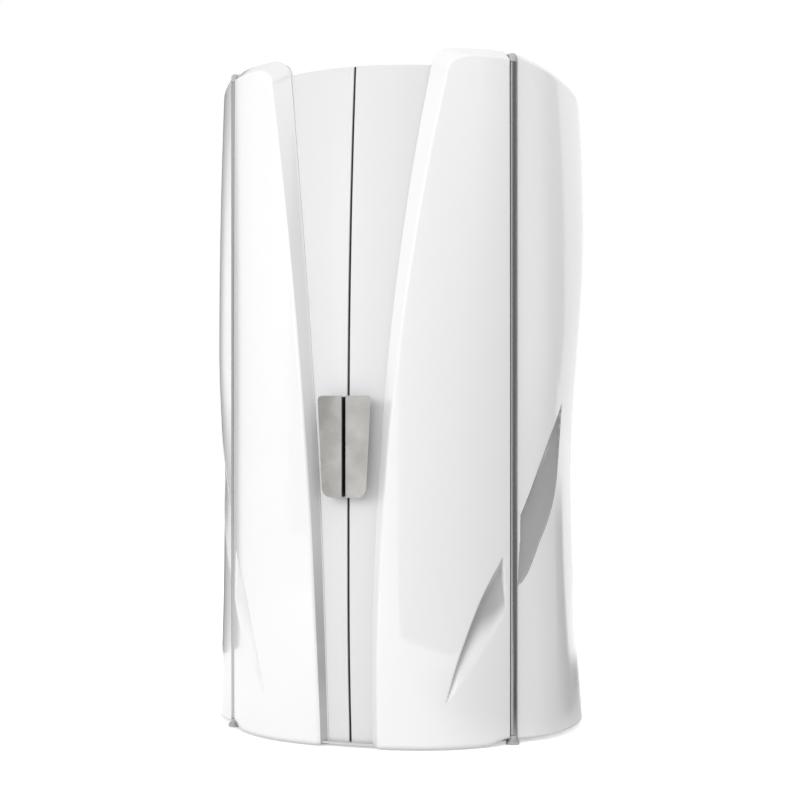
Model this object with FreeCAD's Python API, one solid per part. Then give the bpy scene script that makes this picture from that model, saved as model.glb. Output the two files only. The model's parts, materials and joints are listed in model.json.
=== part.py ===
"""Vertical tanning booth: a round stand-up cabin with two hinged front leaves.

Millimetres, +Z up.  The origin is on the floor, on the cabin's vertical axis.
The front faces -Y and +X is to the right of someone who looks at the front.
A bearing is the plan angle from the front, positive towards +X.
"""
import FreeCAD
import Part
import math
import os

V = FreeCAD.Vector
UP = V(0, 0, 1)
ORIGIN = V(0, 0, 0)
FULL_TURN = 360.0

# ---- Driving dimensions: the outside ----
TOTAL_HEIGHT = 2330.0
PANEL_RADIUS = 642.0          # centre panel where it stands furthest out
WING_RISE = 55.0              # wings over the centre panel
DOOR_CLEARANCE = 6.0          # under the leaves
SKIN = 4.0                    # moulded shells
SEAT_GAP = 0.3                # between pieces that seat on each other
HINGE_BEARING = 50.6
HINGE_STAND = 12.0            # hinge axis outside the centre panel
REAR_STAND = 13.0             # rear cover outside the centre panel
WALL_DEPTH = 158.5            # from the centre panel in to the clear shield
PANEL_TOP = TOTAL_HEIGHT - WING_RISE
HINGE_RADIUS = PANEL_RADIUS + HINGE_STAND
REAR_RADIUS = PANEL_RADIUS + REAR_STAND
SHIELD_INNER = PANEL_RADIUS - WALL_DEPTH

# ---- Driving dimensions: the centre panel's bowed profile ----
PANEL_FLAT_LOW = 550.0
PANEL_FLAT_HIGH = 1000.0
PANEL_BOW_LOW = 6250.0
PANEL_BOW_HIGH = 11600.0
PANEL_END_BEARING = 36.5
SEAM_BEARING = 0.36           # half the gap in the centre seam
SEAL_BEARING = 0.045
SEAL_RECESS = 6.0
SEAL_DEPTH = 12.0

# ---- Driving dimensions: the wing ----
WING_BEARINGS = (2.0, 9.0, 16.0, 24.0, 32.0, 41.0, 49.18)
WING_SHAPE_BEARINGS = (0.0, 15.0, 30.0, 42.0, 52.0)
WING_STAND = (30.0, 27.0, 23.0, 15.0, 6.0)          # face outside the hinge radius
WING_DROP_LOW = (42.0, 26.0, 9.0, 2.0, 0.0)         # drawn in at the floor
WING_DROP_HIGH = (72.0, 62.0, 46.0, 15.0, 0.0)      # drawn in at the top
WING_FLAT_LOW = 600.0
WING_FLAT_HIGH = 1000.0
WING_CORNER = 62.0            # top inner corner of the outline
WING_CORNER_STRETCH = 1.15    # the corner is this much wider than high
WING_FOOT_X = 78.0            # bevel's foot at the floor
WING_FOOT_CURVE = 3.35e-5
WING_EDGE_X = 106.0           # bevel's face edge at the floor
WING_EDGE_CURVE = 4.18e-5
WING_FOOT_STAND = 10.0        # bevel's foot stands out from the centre panel
WING_TOP_BEVEL = 34.0
WING_BOX_DEPTH = 94.0         # the wing's head closes back this far from the hinge radius
WING_BACK_DEPTH = 48.0        # depth of the wall beside the hinge post
WING_SAMPLES = 12             # along the inner edge
WING_CORNER_SAMPLES = 4
WING_LEVELS = 9
WING_OVERCUT = 60.0
WING_CUT_LEAN = 5.0           # cutter's far edge moves this far to the wing's outside
WING_CUT_SHARES = (0.8, 0.7)  # cutter runs past the bevel's foot and face edge, in bevel widths
WING_BOX_RADIUS = HINGE_RADIUS - WING_BOX_DEPTH
WING_BACK_RADIUS = HINGE_RADIUS - WING_BACK_DEPTH

# ---- Driving dimensions: the side shells, as offsets from the hinge radius ----
SIDE_BEARINGS = (52.0, 56.0, 61.0, 67.0, 74.0, 82.0, 91.0, 100.0, 112.0, 125.0, 138.0, 150.6)
SIDE_SHAPE_BEARINGS = (52.0, 64.0, 82.0, 100.0, 125.0, 151.0)
SIDE_FOOT = (6.0, 30.0, 18.0, 0.0, -6.0, -4.0)
SIDE_WAIST = (6.0, 13.0, -14.0, -40.0, -29.0, -16.0)
SIDE_BULGE = (6.0, 32.0, 22.0, 5.0, 1.0, 1.0)
SIDE_HEAD = (6.0, 12.0, -4.0, -18.0, -16.0, -12.0)
SIDE_WAIST_Z = (780.0, 780.0, 900.0, 1000.0, 1000.0, 1000.0)
SIDE_BULGE_Z = (1330.0, 1340.0, 1600.0, 1780.0, 1740.0, 1700.0)
SIDE_TOP_BEARINGS = (52.0, 62.0, 76.0, 100.0, 151.0)
SIDE_TOP_DROP = (4.0, 31.0, 60.0, 80.0, 85.0)       # top edge under the total height
SIDE_LEVELS = 10
SIDE_SHOULDER = 26.0
SIDE_LIP = 66.0               # flanges reach this far in from the rear radius
SIDE_INNER = REAR_RADIUS - SIDE_LIP
HINGE_FLANGE_BEARING = 0.6    # width of the flange on the jamb

# ---- Driving dimensions: the swoosh carved across wing and side shell ----
SWOOSH_TOP_BEARINGS = (28.6, 32.9, 39.5, 46.7, 56.0, 66.0, 76.0, 87.0, 98.0)
SWOOSH_TOP = (158.0, 330.0, 512.0, 636.0, 803.0, 1002.0, 1178.0, 1310.0, 1392.0)
SWOOSH_LOW_BEARINGS = (28.6, 32.9, 39.5, 47.7, 59.5, 66.7, 76.0, 87.0, 98.0)
SWOOSH_LOW = (150.0, 218.0, 318.0, 448.0, 600.0, 752.0, 982.0, 1225.0, 1384.0)
SWOOSH_BEARINGS = (28.6, 30.5, 33.5, 37.5, 42.0, 46.5, 51.0, 56.0, 61.0, 66.5, 72.0, 78.0, 85.0,
                   92.0, 98.0)
SWOOSH_DEPTH = 16.0
SWOOSH_VALLEY = 0.24          # valley's place below the top edge, as a share of the width
SWOOSH_SLOPE = 0.24           # depth as a share of the width, where the swoosh is narrow
SWOOSH_OVERCUT = 30.0
SWOOSH_WALL = (1.3, 1.2, 2.0)  # inside of the carving: deeper, higher, lower, in wall thicknesses

# ---- Driving dimensions: hinge ----
POST_RADIUS = 13.0
POST_FIT = 0.1                # lugs to post
PIN_RADIUS = 7.0
PIN_CLEARANCE = 0.05
PIN_LENGTH = 20.0
FOOT_DISC_RADIUS = 23.0
FOOT_STEP_RADIUS = 18.0
FOOT_CUP_RADIUS = 14.0
FOOT_TOP = 30.0
POST_DROP = 40.0              # post's top under the total height
DOME_DROP = 10.0              # dome's top under the total height
LUG_LOW = 150.0
LUG_DROP = 160.0              # upper lug under the total height
LUG_THICKNESS = 10.0
LUG_NECK = 9.0                # half width beside the post
BRACKET_NECK = 9.0
BRACKET_ROOT = 4.0            # where the arm leaves the boss
BRACKET_WIDTH = 36.0          # from the post towards the rear
BRACKET_WEB = 12.0
BRACKET_SHELF = 22.0          # what lies on the top ring, inside the web
BRACKET_UNDERCUT = 2.0        # the arm's underside is this far over the boss's lower end

# ---- Driving dimensions: base and platform ----
BASE_BOTTOM = 10.0
BASE_THICKNESS = 6.0
BASE_INSET = 2.0              # base plate inside the centre panel
FOOT_COUNT = 6                # round the middle one
FOOT_INSET = 82.0             # feet inside the centre panel
LEVEL_PAD_RADIUS = 30.0
LEVEL_PAD_THICKNESS = 5.0
LEVEL_STEM_RADIUS = 12.0
PLATFORM_CLEARANCE = 1.5      # platform and ceiling to the shield
PLATFORM_TOP = 84.0
PLATFORM_WALL = 4.0
MAT_MARGIN = 16.0
MAT_THICKNESS = 4.0

# ---- Driving dimensions: the lit chamber, outwards from the shield ----
SHIELD_THICKNESS = 4.0
HOLDER_STAND = 13.5
LAMP_STAND = 31.5
REFLECTOR_STAND = 56.5
RAIL_STAND = 59.5
STILE_STAND = 80.5
REFLECTOR_THICKNESS = 1.5
LAMP_RADIUS = 19.0
LAMP_FACETS = 12
LAMP_BOTTOM = 110.0
LAMP_HEADROOM = 126.0         # over the lamps, in the chamber
HOLDER_WIDTH = 30.0
HOLDER_HEIGHT = 32.0
DOOR_LAMP_COUNT = 5
DOOR_LAMP_BEARINGS = (8.0, 42.0)
REAR_LAMP_COUNT = 29
REAR_LAMP_BEARING = 59.0      # first and last

# ---- Driving dimensions: frame ----
STILE_WIDTH = 26.0
TUBE_WALL = 2.5
SEAM_STILE_OFFSET = 8.0
HINGE_STILE_BEARING = 48.0
JAMB_BEARING = 53.2
RAIL_HEIGHT = 30.0
UPRIGHT_SIZE = 30.0
UPRIGHT_STAND = 82.5
UPRIGHT_BEARING = 100.0        # of the side uprights
TOP_RING_DROP = 99.0          # top ring under the total height
TOP_RING_THICKNESS = 3.0
TOP_RING_STAND = 61.5
TOP_RING_BEARING = 52.9       # first and last

# ---- Driving dimensions: ceiling, roof and fan ----
CEILING_DROP = 180.0
PAN_WALL = 4.0
ROOF_STAND = 72.5
ROOF_THICKNESS = 4.0
DUCT_RADIUS = 100.0
DUCT_WALL = 3.0
DUCT_HEIGHT = 74.0
DUCT_FLANGE_RADIUS = 122.0
SHROUD_RADIUS = 155.7
SHROUD_WALL = 3.0
SHROUD_ARM_WIDTH = 16.0
MOTOR_DROP = 14.0             # motor's top under the roof panel
TIP_CLEARANCE = 12.7
ROTOR_HUB = 36.0
ROTOR_LIFT = 20.0             # rotor over the ceiling
ROTOR_HEIGHT = 22.0
BLADE_COUNT = 5
BLADE_PITCH = 32.0
BLADE_WIDTH = 52.0
BLADE_THICKNESS = 2.0
MOTOR_RADIUS = 42.0
MOTOR_NECK = 4.0
ROTOR_CLEARANCE = 2.0         # rotor under the motor's neck
SHAFT_RADIUS = 4.0
SHAFT_CLEARANCE = 0.1
GUARD_BARS = 8
GUARD_THICKNESS = 4.0
GUARD_RIM = (14.0, 8.0)       # inside and outside the shroud's radius
GUARD_HUB = 26.0
GRIP_RADIUS = 11.0
GRIP_SPAN = 150.0
GRIP_DROP = 95.0
GRIP_X = 270.0
SPEAKER_RADIUS = 62.0
SPEAKER_PLACE = (250.0, 210.0)
SPEAKER_SLOT = (72.0, 5.0)
SPEAKER_SLOT_PITCH = 16.0

# ---- Driving dimensions: handles ----
PLATE_STAND = 48.0            # handle plates outside the centre panel
PLATE_THICKNESS = 6.0
PLATE_BOTTOM = 832.0
PLATE_TOP = 1167.0
PLATE_INNER_X = 5.0
PLATE_OUTER_X_TOP = 93.0
PLATE_OUTER_X_LOW = 76.0
PLATE_CORNERS = (5.0, 30.0, 14.0, 5.0)
HANDLE_WEB_X = (14.0, 30.0)
HANDLE_WEB_INSET = 30.0       # web's ends inside the plate's
PULL_Z = (940.0, 1120.0)
PULL_STAND = 42.0
PULL_RADIUS = 10.0
PULL_STUD_RADIUS = 7.0

# ---- Driving dimensions: control panel ----
CONTROL_BEARING = 66.0
CONTROL_SIZE = (116.0, 28.0, 250.0)
CONTROL_Z = 1290.0
CONTROL_CLEARANCE = 3.9       # flat back to the shield's curve
CONTROL_ROUND = 10.0
BUTTON_RADIUS = 9.0
BUTTON_EDGE = 1.2
BUTTON_CLEARANCE = 0.1
BUTTON_POCKET = 12.0
BUTTON_PROUD = 4.0
BUTTON_TRAVEL = 2.5
BUTTON_PLACES = {"start": (-30.0, -62.0), "stop": (0.0, -62.0), "fan": (30.0, -62.0)}
DISPLAY_SIZE = (80.0, 46.0)
DISPLAY_Z = 56.0
DISPLAY_DEPTH = 3.0

# ---- Driving dimensions: rear ----
REAR_FLANGE_DEPTH = 53.0
LOUVRE_COUNT = 9
LOUVRE_PITCH = 24.0
LOUVRE_WIDTH = 260.0
LOUVRE_OPEN = 9.0
LOUVRE_LOW = 330.0
LOUVRE_DROP = 480.0           # upper bank under the total height
BALLAST_SIZE = (58.0, 30.0, 280.0)
BALLAST_COLUMNS = 6
BALLAST_ROWS = 4
BALLAST_PITCH = (84.0, 360.0)
BALLAST_PLATE_Z = (260.0, 1800.0)
BALLAST_PLATE_THICKNESS = 3.0
BALLAST_PLATE_CLEARANCE = 1.9  # plate behind the rear reflector
BALLAST_PLATE_MARGIN = 16.0   # plate's side edges past the uprights
BALLAST_FIRST = 60.0          # lowest ballasts over the plate's lower edge
TERMINAL_SIZE = (150.0, 90.0, 72.0)
TERMINAL_ROUND = 8.0
TERMINAL_INSET = 66.0         # terminal box inside the roof panel's edge
GLAND_RADIUS = 12.0
GLAND_COLLAR = 16.0
GLAND_BORE = 6.5
GLAND_LENGTH = 22.0

# ---- Places that follow from the sizes above ----
POST_TOP = TOTAL_HEIGHT - POST_DROP
DOME_TOP = TOTAL_HEIGHT - DOME_DROP
LUG_HIGH = TOTAL_HEIGHT - LUG_DROP
LUG_HEIGHTS = (LUG_LOW, (LUG_LOW + LUG_HIGH) / 2, LUG_HIGH)
BASE_TOP = BASE_BOTTOM + BASE_THICKNESS
BASE_RADIUS = PANEL_RADIUS - BASE_INSET
DOOR_BOTTOM = BASE_TOP + DOOR_CLEARANCE
SHELL_BOTTOM = BASE_TOP + SEAT_GAP
PLATFORM_RADIUS = SHIELD_INNER - PLATFORM_CLEARANCE
MAT_RADIUS = PLATFORM_RADIUS - MAT_MARGIN
SHIELD_OUTER = SHIELD_INNER + SHIELD_THICKNESS
HOLDER_FRONT = SHIELD_INNER + HOLDER_STAND
LAMP_RING = SHIELD_INNER + LAMP_STAND
REFLECTOR_RADIUS = SHIELD_INNER + REFLECTOR_STAND
RAIL_INNER = SHIELD_INNER + RAIL_STAND
STILE_INNER = SHIELD_OUTER + SEAT_GAP
STILE_OUTER = SHIELD_INNER + STILE_STAND
SEAM_STILE_CORNER = math.hypot(STILE_OUTER, SEAM_STILE_OFFSET + STILE_WIDTH)
UPRIGHT_RING = SHIELD_INNER + UPRIGHT_STAND
BALLAST_PLATE_Y = REFLECTOR_RADIUS + REFLECTOR_THICKNESS + BALLAST_PLATE_CLEARANCE
TOP_RING_Z = TOTAL_HEIGHT - TOP_RING_DROP
TOP_RING_INNER = SHIELD_INNER + TOP_RING_STAND
TOP_RING_OUTER = SIDE_INNER - SEAT_GAP
ROOF_RADIUS = SHIELD_INNER + ROOF_STAND
ROOF_Z = TOP_RING_Z + TOP_RING_THICKNESS
ROOF_TOP = ROOF_Z + ROOF_THICKNESS
CEILING_Z = TOTAL_HEIGHT - CEILING_DROP
CHAMBER_TOP = TOP_RING_Z - DOOR_CLEARANCE
LAMP_LENGTH = CHAMBER_TOP - LAMP_HEADROOM - LAMP_BOTTOM
MOTOR_TOP = ROOF_Z - MOTOR_DROP
ROTOR_Z = CEILING_Z + ROTOR_LIFT
ROTOR_RADIUS = SHROUD_RADIUS - SHROUD_WALL - TIP_CLEARANCE
MOTOR_Z = ROTOR_Z + ROTOR_HEIGHT + ROTOR_CLEARANCE + MOTOR_NECK
PLATE_RADIUS = PANEL_RADIUS + PLATE_STAND
HANDLE_WEB_Z = (PLATE_BOTTOM + HANDLE_WEB_INSET, PLATE_TOP - HANDLE_WEB_INSET)
CONTROL_BACK = SHIELD_INNER - CONTROL_CLEARANCE
REAR_FLANGE_RADIUS = REAR_RADIUS - REAR_FLANGE_DEPTH
REAR_TOP = TOTAL_HEIGHT - SIDE_TOP_DROP[-1]
TERMINAL_Y = ROOF_RADIUS - TERMINAL_INSET - TERMINAL_SIZE[1]
BRACKET_CROWN = DOME_TOP - POST_RADIUS
BRACKET_BACK = TOP_RING_OUTER - HINGE_RADIUS - SEAT_GAP
HINGE_X = HINGE_RADIUS * math.sin(math.radians(HINGE_BEARING))
HINGE_Y = -HINGE_RADIUS * math.cos(math.radians(HINGE_BEARING))
FAR = 2.0 * TOTAL_HEIGHT


# ======================= helpers =======================
def place(bearing, radius, z):
    """A point by bearing (degrees), radius and height."""
    a = math.radians(bearing)
    return V(radius * math.sin(a), -radius * math.cos(a), z)


def smooth(places, values, x):
    """Monotone cubic curve through the values at their places, held level past the ends."""
    points = list(zip(places, values))
    if x <= points[0][0]:
        return points[0][1]
    if x >= points[-1][0]:
        return points[-1][1]
    slopes = [(q[1] - p[1]) / (q[0] - p[0]) for p, q in zip(points, points[1:])]
    tangents = [slopes[0]]
    for a, b in zip(slopes, slopes[1:]):
        tangents.append(0.0 if a * b <= 0 else 2.0 * a * b / (a + b))
    tangents.append(slopes[-1])
    for i, (p, q) in enumerate(zip(points, points[1:])):
        if x <= q[0]:
            h = q[0] - p[0]
            t = (x - p[0]) / h
            rise = q[1] - p[1]
            start = tangents[i] * h
            end = tangents[i + 1] * h
            return (p[1] + t * start + t * t * (3 * rise - 2 * start - end)
                    + t * t * t * (start + end - 2 * rise))
    return points[-1][1]


def polygon(points):
    return Part.makePolygon(list(points) + [points[0]])


def sector(profile, start, end):
    """Solid of revolution of (radius, z) points about the axis, between two bearings."""
    face = Part.Face(polygon([place(start, r, z) for r, z in profile]))
    return face.revolve(ORIGIN, UP, end - start)


def sector_of_wire(wire, start, end):
    """As sector, for a wire drawn at bearing zero."""
    face = Part.Face(wire)
    face.rotate(ORIGIN, UP, start)
    return face.revolve(ORIGIN, UP, end - start)


def ring(inner, outer, low, high, start=0.0, end=FULL_TURN):
    return sector(((inner, low), (outer, low), (outer, high), (inner, high)), start, end)


def round_bar(radius, length, base, direction=UP):
    return Part.makeCylinder(radius, length, base, direction)


def block(low, high):
    return Part.makeBox(high[0] - low[0], high[1] - low[1], high[2] - low[2], V(*low))


def turned(shape, bearing):
    copy = shape.copy()
    copy.rotate(ORIGIN, UP, bearing)
    return copy


def mirrored(shape):
    return shape.mirror(ORIGIN, V(1, 0, 0))


def box_tube(low, high, wall):
    """Upright rectangular tube, open at both ends."""
    inner = block((low[0] + wall, low[1] + wall, low[2]), (high[0] - wall, high[1] - wall, high[2]))
    return block(low, high).cut(inner)


def spread(first, last, count):
    """Evenly spaced values."""
    return [first + (last - first) * i / (count - 1) for i in range(count)]


def largest(shape):
    """The biggest solid, without the offcuts that a cut leaves."""
    return max(shape.Solids, key=lambda solid: solid.Volume)


def spline(points):
    """Curve through evenly spaced points; like curves get like knots, which keeps lofts light."""
    curve = Part.BSplineCurve()
    curve.interpolate(Points=points, Parameters=[float(i) for i in range(len(points))])
    return curve.toShape()


def hinge_point(outward, along, z):
    """A point beside the hinge axis: outward from the cabin and along its wall to the rear."""
    a = math.radians(HINGE_BEARING)
    x = HINGE_X + outward * math.sin(a) + along * math.cos(a)
    y = HINGE_Y - outward * math.cos(a) + along * math.sin(a)
    return V(x, y, z)


def hinge_plate(outline, low, high):
    """Upright prism on an (outward, along) outline beside the hinge axis."""
    face = Part.Face(polygon([hinge_point(u, t, low) for u, t in outline]))
    return face.extrude(V(0, 0, high - low))


# ======================= centre panel =======================
def panel_radius(z):
    """Outside radius of the bowed centre panel at a height."""
    if z < PANEL_FLAT_LOW:
        return PANEL_RADIUS - (PANEL_FLAT_LOW - z) ** 2 / (2.0 * PANEL_BOW_LOW)
    if z > PANEL_FLAT_HIGH:
        return PANEL_RADIUS - (z - PANEL_FLAT_HIGH) ** 2 / (2.0 * PANEL_BOW_HIGH)
    return PANEL_RADIUS


def panel_curve(offset, low, high):
    """Bowed profile at bearing zero, from low to high, as arc, line and arc."""
    def point(z):
        return place(0, panel_radius(z) + offset, z)
    lower = Part.Arc(point(low), point((low + PANEL_FLAT_LOW) / 2), point(PANEL_FLAT_LOW))
    middle = Part.LineSegment(point(PANEL_FLAT_LOW), point(PANEL_FLAT_HIGH))
    upper = Part.Arc(point(PANEL_FLAT_HIGH), point((PANEL_FLAT_HIGH + high) / 2), point(high))
    return [lower.toShape(), middle.toShape(), upper.toShape()]


def panel_band(inner, outer, low, high, start, end):
    """Solid between two offsets of the bowed profile."""
    edges = panel_curve(outer, low, high) + panel_curve(inner, low, high)
    edges.append(Part.makeLine(place(0, panel_radius(low) + inner, low),
                               place(0, panel_radius(low) + outer, low)))
    edges.append(Part.makeLine(place(0, panel_radius(high) + inner, high),
                               place(0, panel_radius(high) + outer, high)))
    return sector_of_wire(Part.Wire(Part.__sortEdges__(edges)), start, end)


def panel_core(offset, low, high, start, end):
    """Everything inside an offset of the bowed profile."""
    inner = WING_BOX_RADIUS / 2
    edges = panel_curve(offset, low, high)
    bottom = place(0, inner, low)
    top = place(0, inner, high)
    edges.append(Part.makeLine(place(0, panel_radius(high) + offset, high), top))
    edges.append(Part.makeLine(top, bottom))
    edges.append(Part.makeLine(bottom, place(0, panel_radius(low) + offset, low)))
    return sector_of_wire(Part.Wire(Part.__sortEdges__(edges)), start, end)


def door_panel():
    """Bowed skin with a flange folded in at the seam, the top and the bottom."""
    skin = panel_band(-SKIN, 0, DOOR_BOTTOM, PANEL_TOP, SEAM_BEARING, PANEL_END_BEARING)
    inside = SEAM_STILE_CORNER + SEAT_GAP
    flange_bearing = math.degrees(SKIN / PANEL_RADIUS)
    shadow = panel_core(-SKIN / 2, DOOR_BOTTOM, PANEL_TOP, SEAM_BEARING, PANEL_END_BEARING)
    seam = ring(inside, PANEL_RADIUS, DOOR_BOTTOM, PANEL_TOP,
                SEAM_BEARING, SEAM_BEARING + flange_bearing).common(shadow)
    floor = ring(inside, PANEL_RADIUS, DOOR_BOTTOM, DOOR_BOTTOM + SKIN,
                 SEAM_BEARING, PANEL_END_BEARING).common(shadow)
    head = ring(inside, PANEL_RADIUS, PANEL_TOP - SKIN, PANEL_TOP,
                SEAM_BEARING, PANEL_END_BEARING).common(shadow)
    return skin.fuse([seam, floor, head]).removeSplitter()


def door_seal():
    """Dark rubber strip down the seam, set back from the panel's face."""
    outer = -SEAL_RECESS
    inner = outer - SEAL_DEPTH
    edge = SEAM_BEARING - math.degrees(SEAT_GAP / 2 / PANEL_RADIUS)
    return panel_band(inner, outer, DOOR_BOTTOM, PANEL_TOP, SEAL_BEARING, edge)


# ======================= wing =======================
def wing_radius(bearing, z):
    """Outside radius of the wing's face: upright at the hinge, bowed at its inner edge."""
    radius = HINGE_RADIUS + smooth(WING_SHAPE_BEARINGS, WING_STAND, bearing)
    if z < WING_FLAT_LOW:
        share = (WING_FLAT_LOW - z) / WING_FLAT_LOW
        return radius - smooth(WING_SHAPE_BEARINGS, WING_DROP_LOW, bearing) * share ** 2
    if z > WING_FLAT_HIGH:
        share = (z - WING_FLAT_HIGH) / (TOTAL_HEIGHT - WING_FLAT_HIGH)
        return radius - smooth(WING_SHAPE_BEARINGS, WING_DROP_HIGH, bearing) * share ** 2
    return radius


def slab(bearings, heights, radius_at, inner):
    """Loft of upright sections, from the inner radius out to radius_at(bearing, z)."""
    sections = []
    for b in bearings:
        points = [place(b, radius_at(b, z), z) for z in heights]
        low = place(b, inner, heights[0])
        high = place(b, inner, heights[-1])
        edges = [spline(points), Part.makeLine(points[-1], high), Part.makeLine(high, low),
                 Part.makeLine(low, points[0])]
        sections.append(Part.Wire(edges))
    return Part.makeLoft(sections, True, True)


def radius_on_face(x, z):
    """Radius of the wing's face where its front elevation shows x."""
    radius = HINGE_RADIUS
    for _ in range(6):
        bearing = math.degrees(math.asin(min(x / radius, 0.99)))
        radius = wing_radius(bearing, z)
    return radius


def wing_outline(start_x, curve, top, corner):
    """Front elevation of the wing's inner and top edges, from the floor to past the hinge."""
    corner_z = top - corner
    points = []
    low = -FOOT_TOP
    for i in range(WING_SAMPLES):
        z = low + (corner_z - low) * i / (WING_SAMPLES - 1)
        points.append((start_x + curve * max(z, 0.0) ** 2, z))
    foot = points[-1][0]
    for i in range(1, WING_CORNER_SAMPLES + 1):
        a = math.radians(90.0 * i / WING_CORNER_SAMPLES)
        across = corner * WING_CORNER_STRETCH * (1 - math.cos(a))
        points.append((foot + across, corner_z + corner * math.sin(a)))
    end = HINGE_X + corner
    last = points[-1][0]
    for i in range(1, 4):
        points.append((last + (end - last) * i / 3, top))
    return points


def wing_lines(inset):
    """Matching points of the bevel's foot and face edge, moved in by a wall thickness."""
    foot = wing_outline(WING_FOOT_X, WING_FOOT_CURVE, TOTAL_HEIGHT, WING_CORNER)
    edge = wing_outline(WING_EDGE_X, WING_EDGE_CURVE, TOTAL_HEIGHT - WING_TOP_BEVEL, WING_CORNER)
    lines = []
    for i, ((fx, fz), (ex, ez)) in enumerate(zip(foot, edge)):
        face_r = radius_on_face(ex, ez)
        foot_r = panel_radius(min(fz, PANEL_TOP)) + WING_FOOT_STAND
        if i >= WING_SAMPLES:
            foot_r = max(foot_r, radius_on_face(fx, fz) - WING_TOP_BEVEL)
        f = V(fx, -math.sqrt(max(foot_r ** 2 - fx ** 2, 1.0)), fz)
        e = V(ex, -math.sqrt(max(face_r ** 2 - ex ** 2, 1.0)), ez)
        lines.append((f, e))
    if inset:
        lines = [inset_pair(lines, i, inset) for i in range(len(lines))]
    return lines


def inset_pair(lines, i, inset):
    """Move one foot and edge point square to the bevel, into the wing."""
    before = lines[max(i - 1, 0)]
    after = lines[min(i + 1, len(lines) - 1)]
    along = (after[0] + after[1]) - (before[0] + before[1])
    across = lines[i][1] - lines[i][0]
    normal = along.cross(across)
    normal.normalize()
    if normal.y < 0:
        normal = normal * -1
    return lines[i][0] + normal * inset, lines[i][1] + normal * inset


def bevel_cutters(inset):
    """What the bevel takes off beside, at the corner of and over the wing: lofts of triangles."""
    sections = []
    for f, e in wing_lines(inset):
        reach = e - f
        a = f - reach * WING_CUT_SHARES[0]
        b = e + reach * WING_CUT_SHARES[1]
        c = V(a.x - WING_CUT_LEAN, b.y - WING_OVERCUT, a.z + WING_CUT_LEAN)
        sections.append(polygon([a, b, c]))
    corner = WING_SAMPLES + WING_CORNER_SAMPLES
    runs = (sections[:WING_SAMPLES], sections[WING_SAMPLES - 1:corner], sections[corner - 1:])
    return [Part.makeLoft(run, True, False) for run in runs]


def wing_prism(inset):
    """Front elevation of the whole wing, drawn through from front to back."""
    outline = wing_outline(WING_FOOT_X + inset, WING_FOOT_CURVE, TOTAL_HEIGHT - inset,
                           WING_CORNER - inset)
    corner = WING_SAMPLES
    turn = corner + WING_CORNER_SAMPLES
    side = spline([V(x, 0, z) for x, z in outline[:corner]])
    top = spline([V(x, 0, z) for x, z in outline[corner - 1:turn]])
    last = V(outline[turn - 1][0], 0, outline[turn - 1][1])
    end = V(outline[-1][0], 0, outline[-1][1])
    low = V(outline[-1][0], 0, outline[0][1])
    start = V(outline[0][0], 0, outline[0][1])
    edges = [side, top, Part.makeLine(last, end), Part.makeLine(end, low), Part.makeLine(low, start)]
    return Part.Face(Part.Wire(edges)).extrude(V(0, -FAR, 0))


def wing_solid(inset):
    """The wing as a thick block; inset gives the space inside its walls."""
    low = DOOR_BOTTOM + inset
    high = TOTAL_HEIGHT + SKIN - inset
    end = WING_BEARINGS[-1] - math.degrees(inset / HINGE_RADIUS)
    bearings = WING_BEARINGS[:-1] + (end,)
    inner = WING_BOX_RADIUS if not inset else WING_BOX_RADIUS / 2
    heights = spread(low, high, WING_LEVELS)
    body = slab(bearings, heights, lambda b, z: wing_radius(b, z) - inset, inner)
    body = body.common(wing_prism(inset))
    for cutter in bevel_cutters(inset):
        body = largest(body.cut(cutter))
    return body.cut(swoosh_cutter(wing_radius, inset, WING_BEARINGS[-1] + 3.0, 0.0))


def door_wing():
    """Moulded wing: face, bevel, flanks and a head box, open at the back."""
    shell = wing_solid(0.0).cut(wing_solid(SKIN))
    clear = SEAT_GAP
    shell = shell.cut(panel_core(clear, -SKIN, PANEL_TOP + clear, 0, PANEL_END_BEARING + clear))
    shell = shell.cut(ring(WING_BOX_RADIUS / 2, WING_BACK_RADIUS, -SKIN, PANEL_TOP + clear,
                           PANEL_END_BEARING, HINGE_BEARING))
    for z in LUG_HEIGHTS:
        shell = shell.cut(hinge_plate(lug_outline(clear), z - clear, z + LUG_THICKNESS + clear))
    return shell


# ======================= swoosh =======================
def swoosh_section(radius_at, bearing, wall):
    """Triangle across the swoosh at one bearing; wall thickens it for the inside."""
    top = smooth(SWOOSH_TOP_BEARINGS, SWOOSH_TOP, bearing)
    low = smooth(SWOOSH_LOW_BEARINGS, SWOOSH_LOW, bearing)
    width = top - low
    depth = min(SWOOSH_DEPTH, SWOOSH_SLOPE * width)
    valley_z = top - SWOOSH_VALLEY * width
    valley_r = radius_at(bearing, valley_z) - depth - SWOOSH_WALL[0] * wall
    top_z = top + SWOOSH_WALL[1] * wall
    low_z = low - SWOOSH_WALL[2] * wall
    top_r = radius_at(bearing, top)
    low_r = radius_at(bearing, low)
    grow = (depth + wall + SWOOSH_OVERCUT) / (depth + wall)
    upper = (valley_r + (top_r - valley_r) * grow, valley_z + (top_z - valley_z) * grow)
    lower = (valley_r + (low_r - valley_r) * grow, valley_z + (low_z - valley_z) * grow)
    return polygon([place(bearing, valley_r, valley_z), place(bearing, *upper),
                    place(bearing, *lower)])


def swoosh_cutter(radius_at, wall, last, first):
    """The carved groove, as a loft of triangles between two bearings."""
    bearings = [b for b in SWOOSH_BEARINGS if first <= b <= last]
    return Part.makeLoft([swoosh_section(radius_at, b, wall) for b in bearings], True, False)


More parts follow.
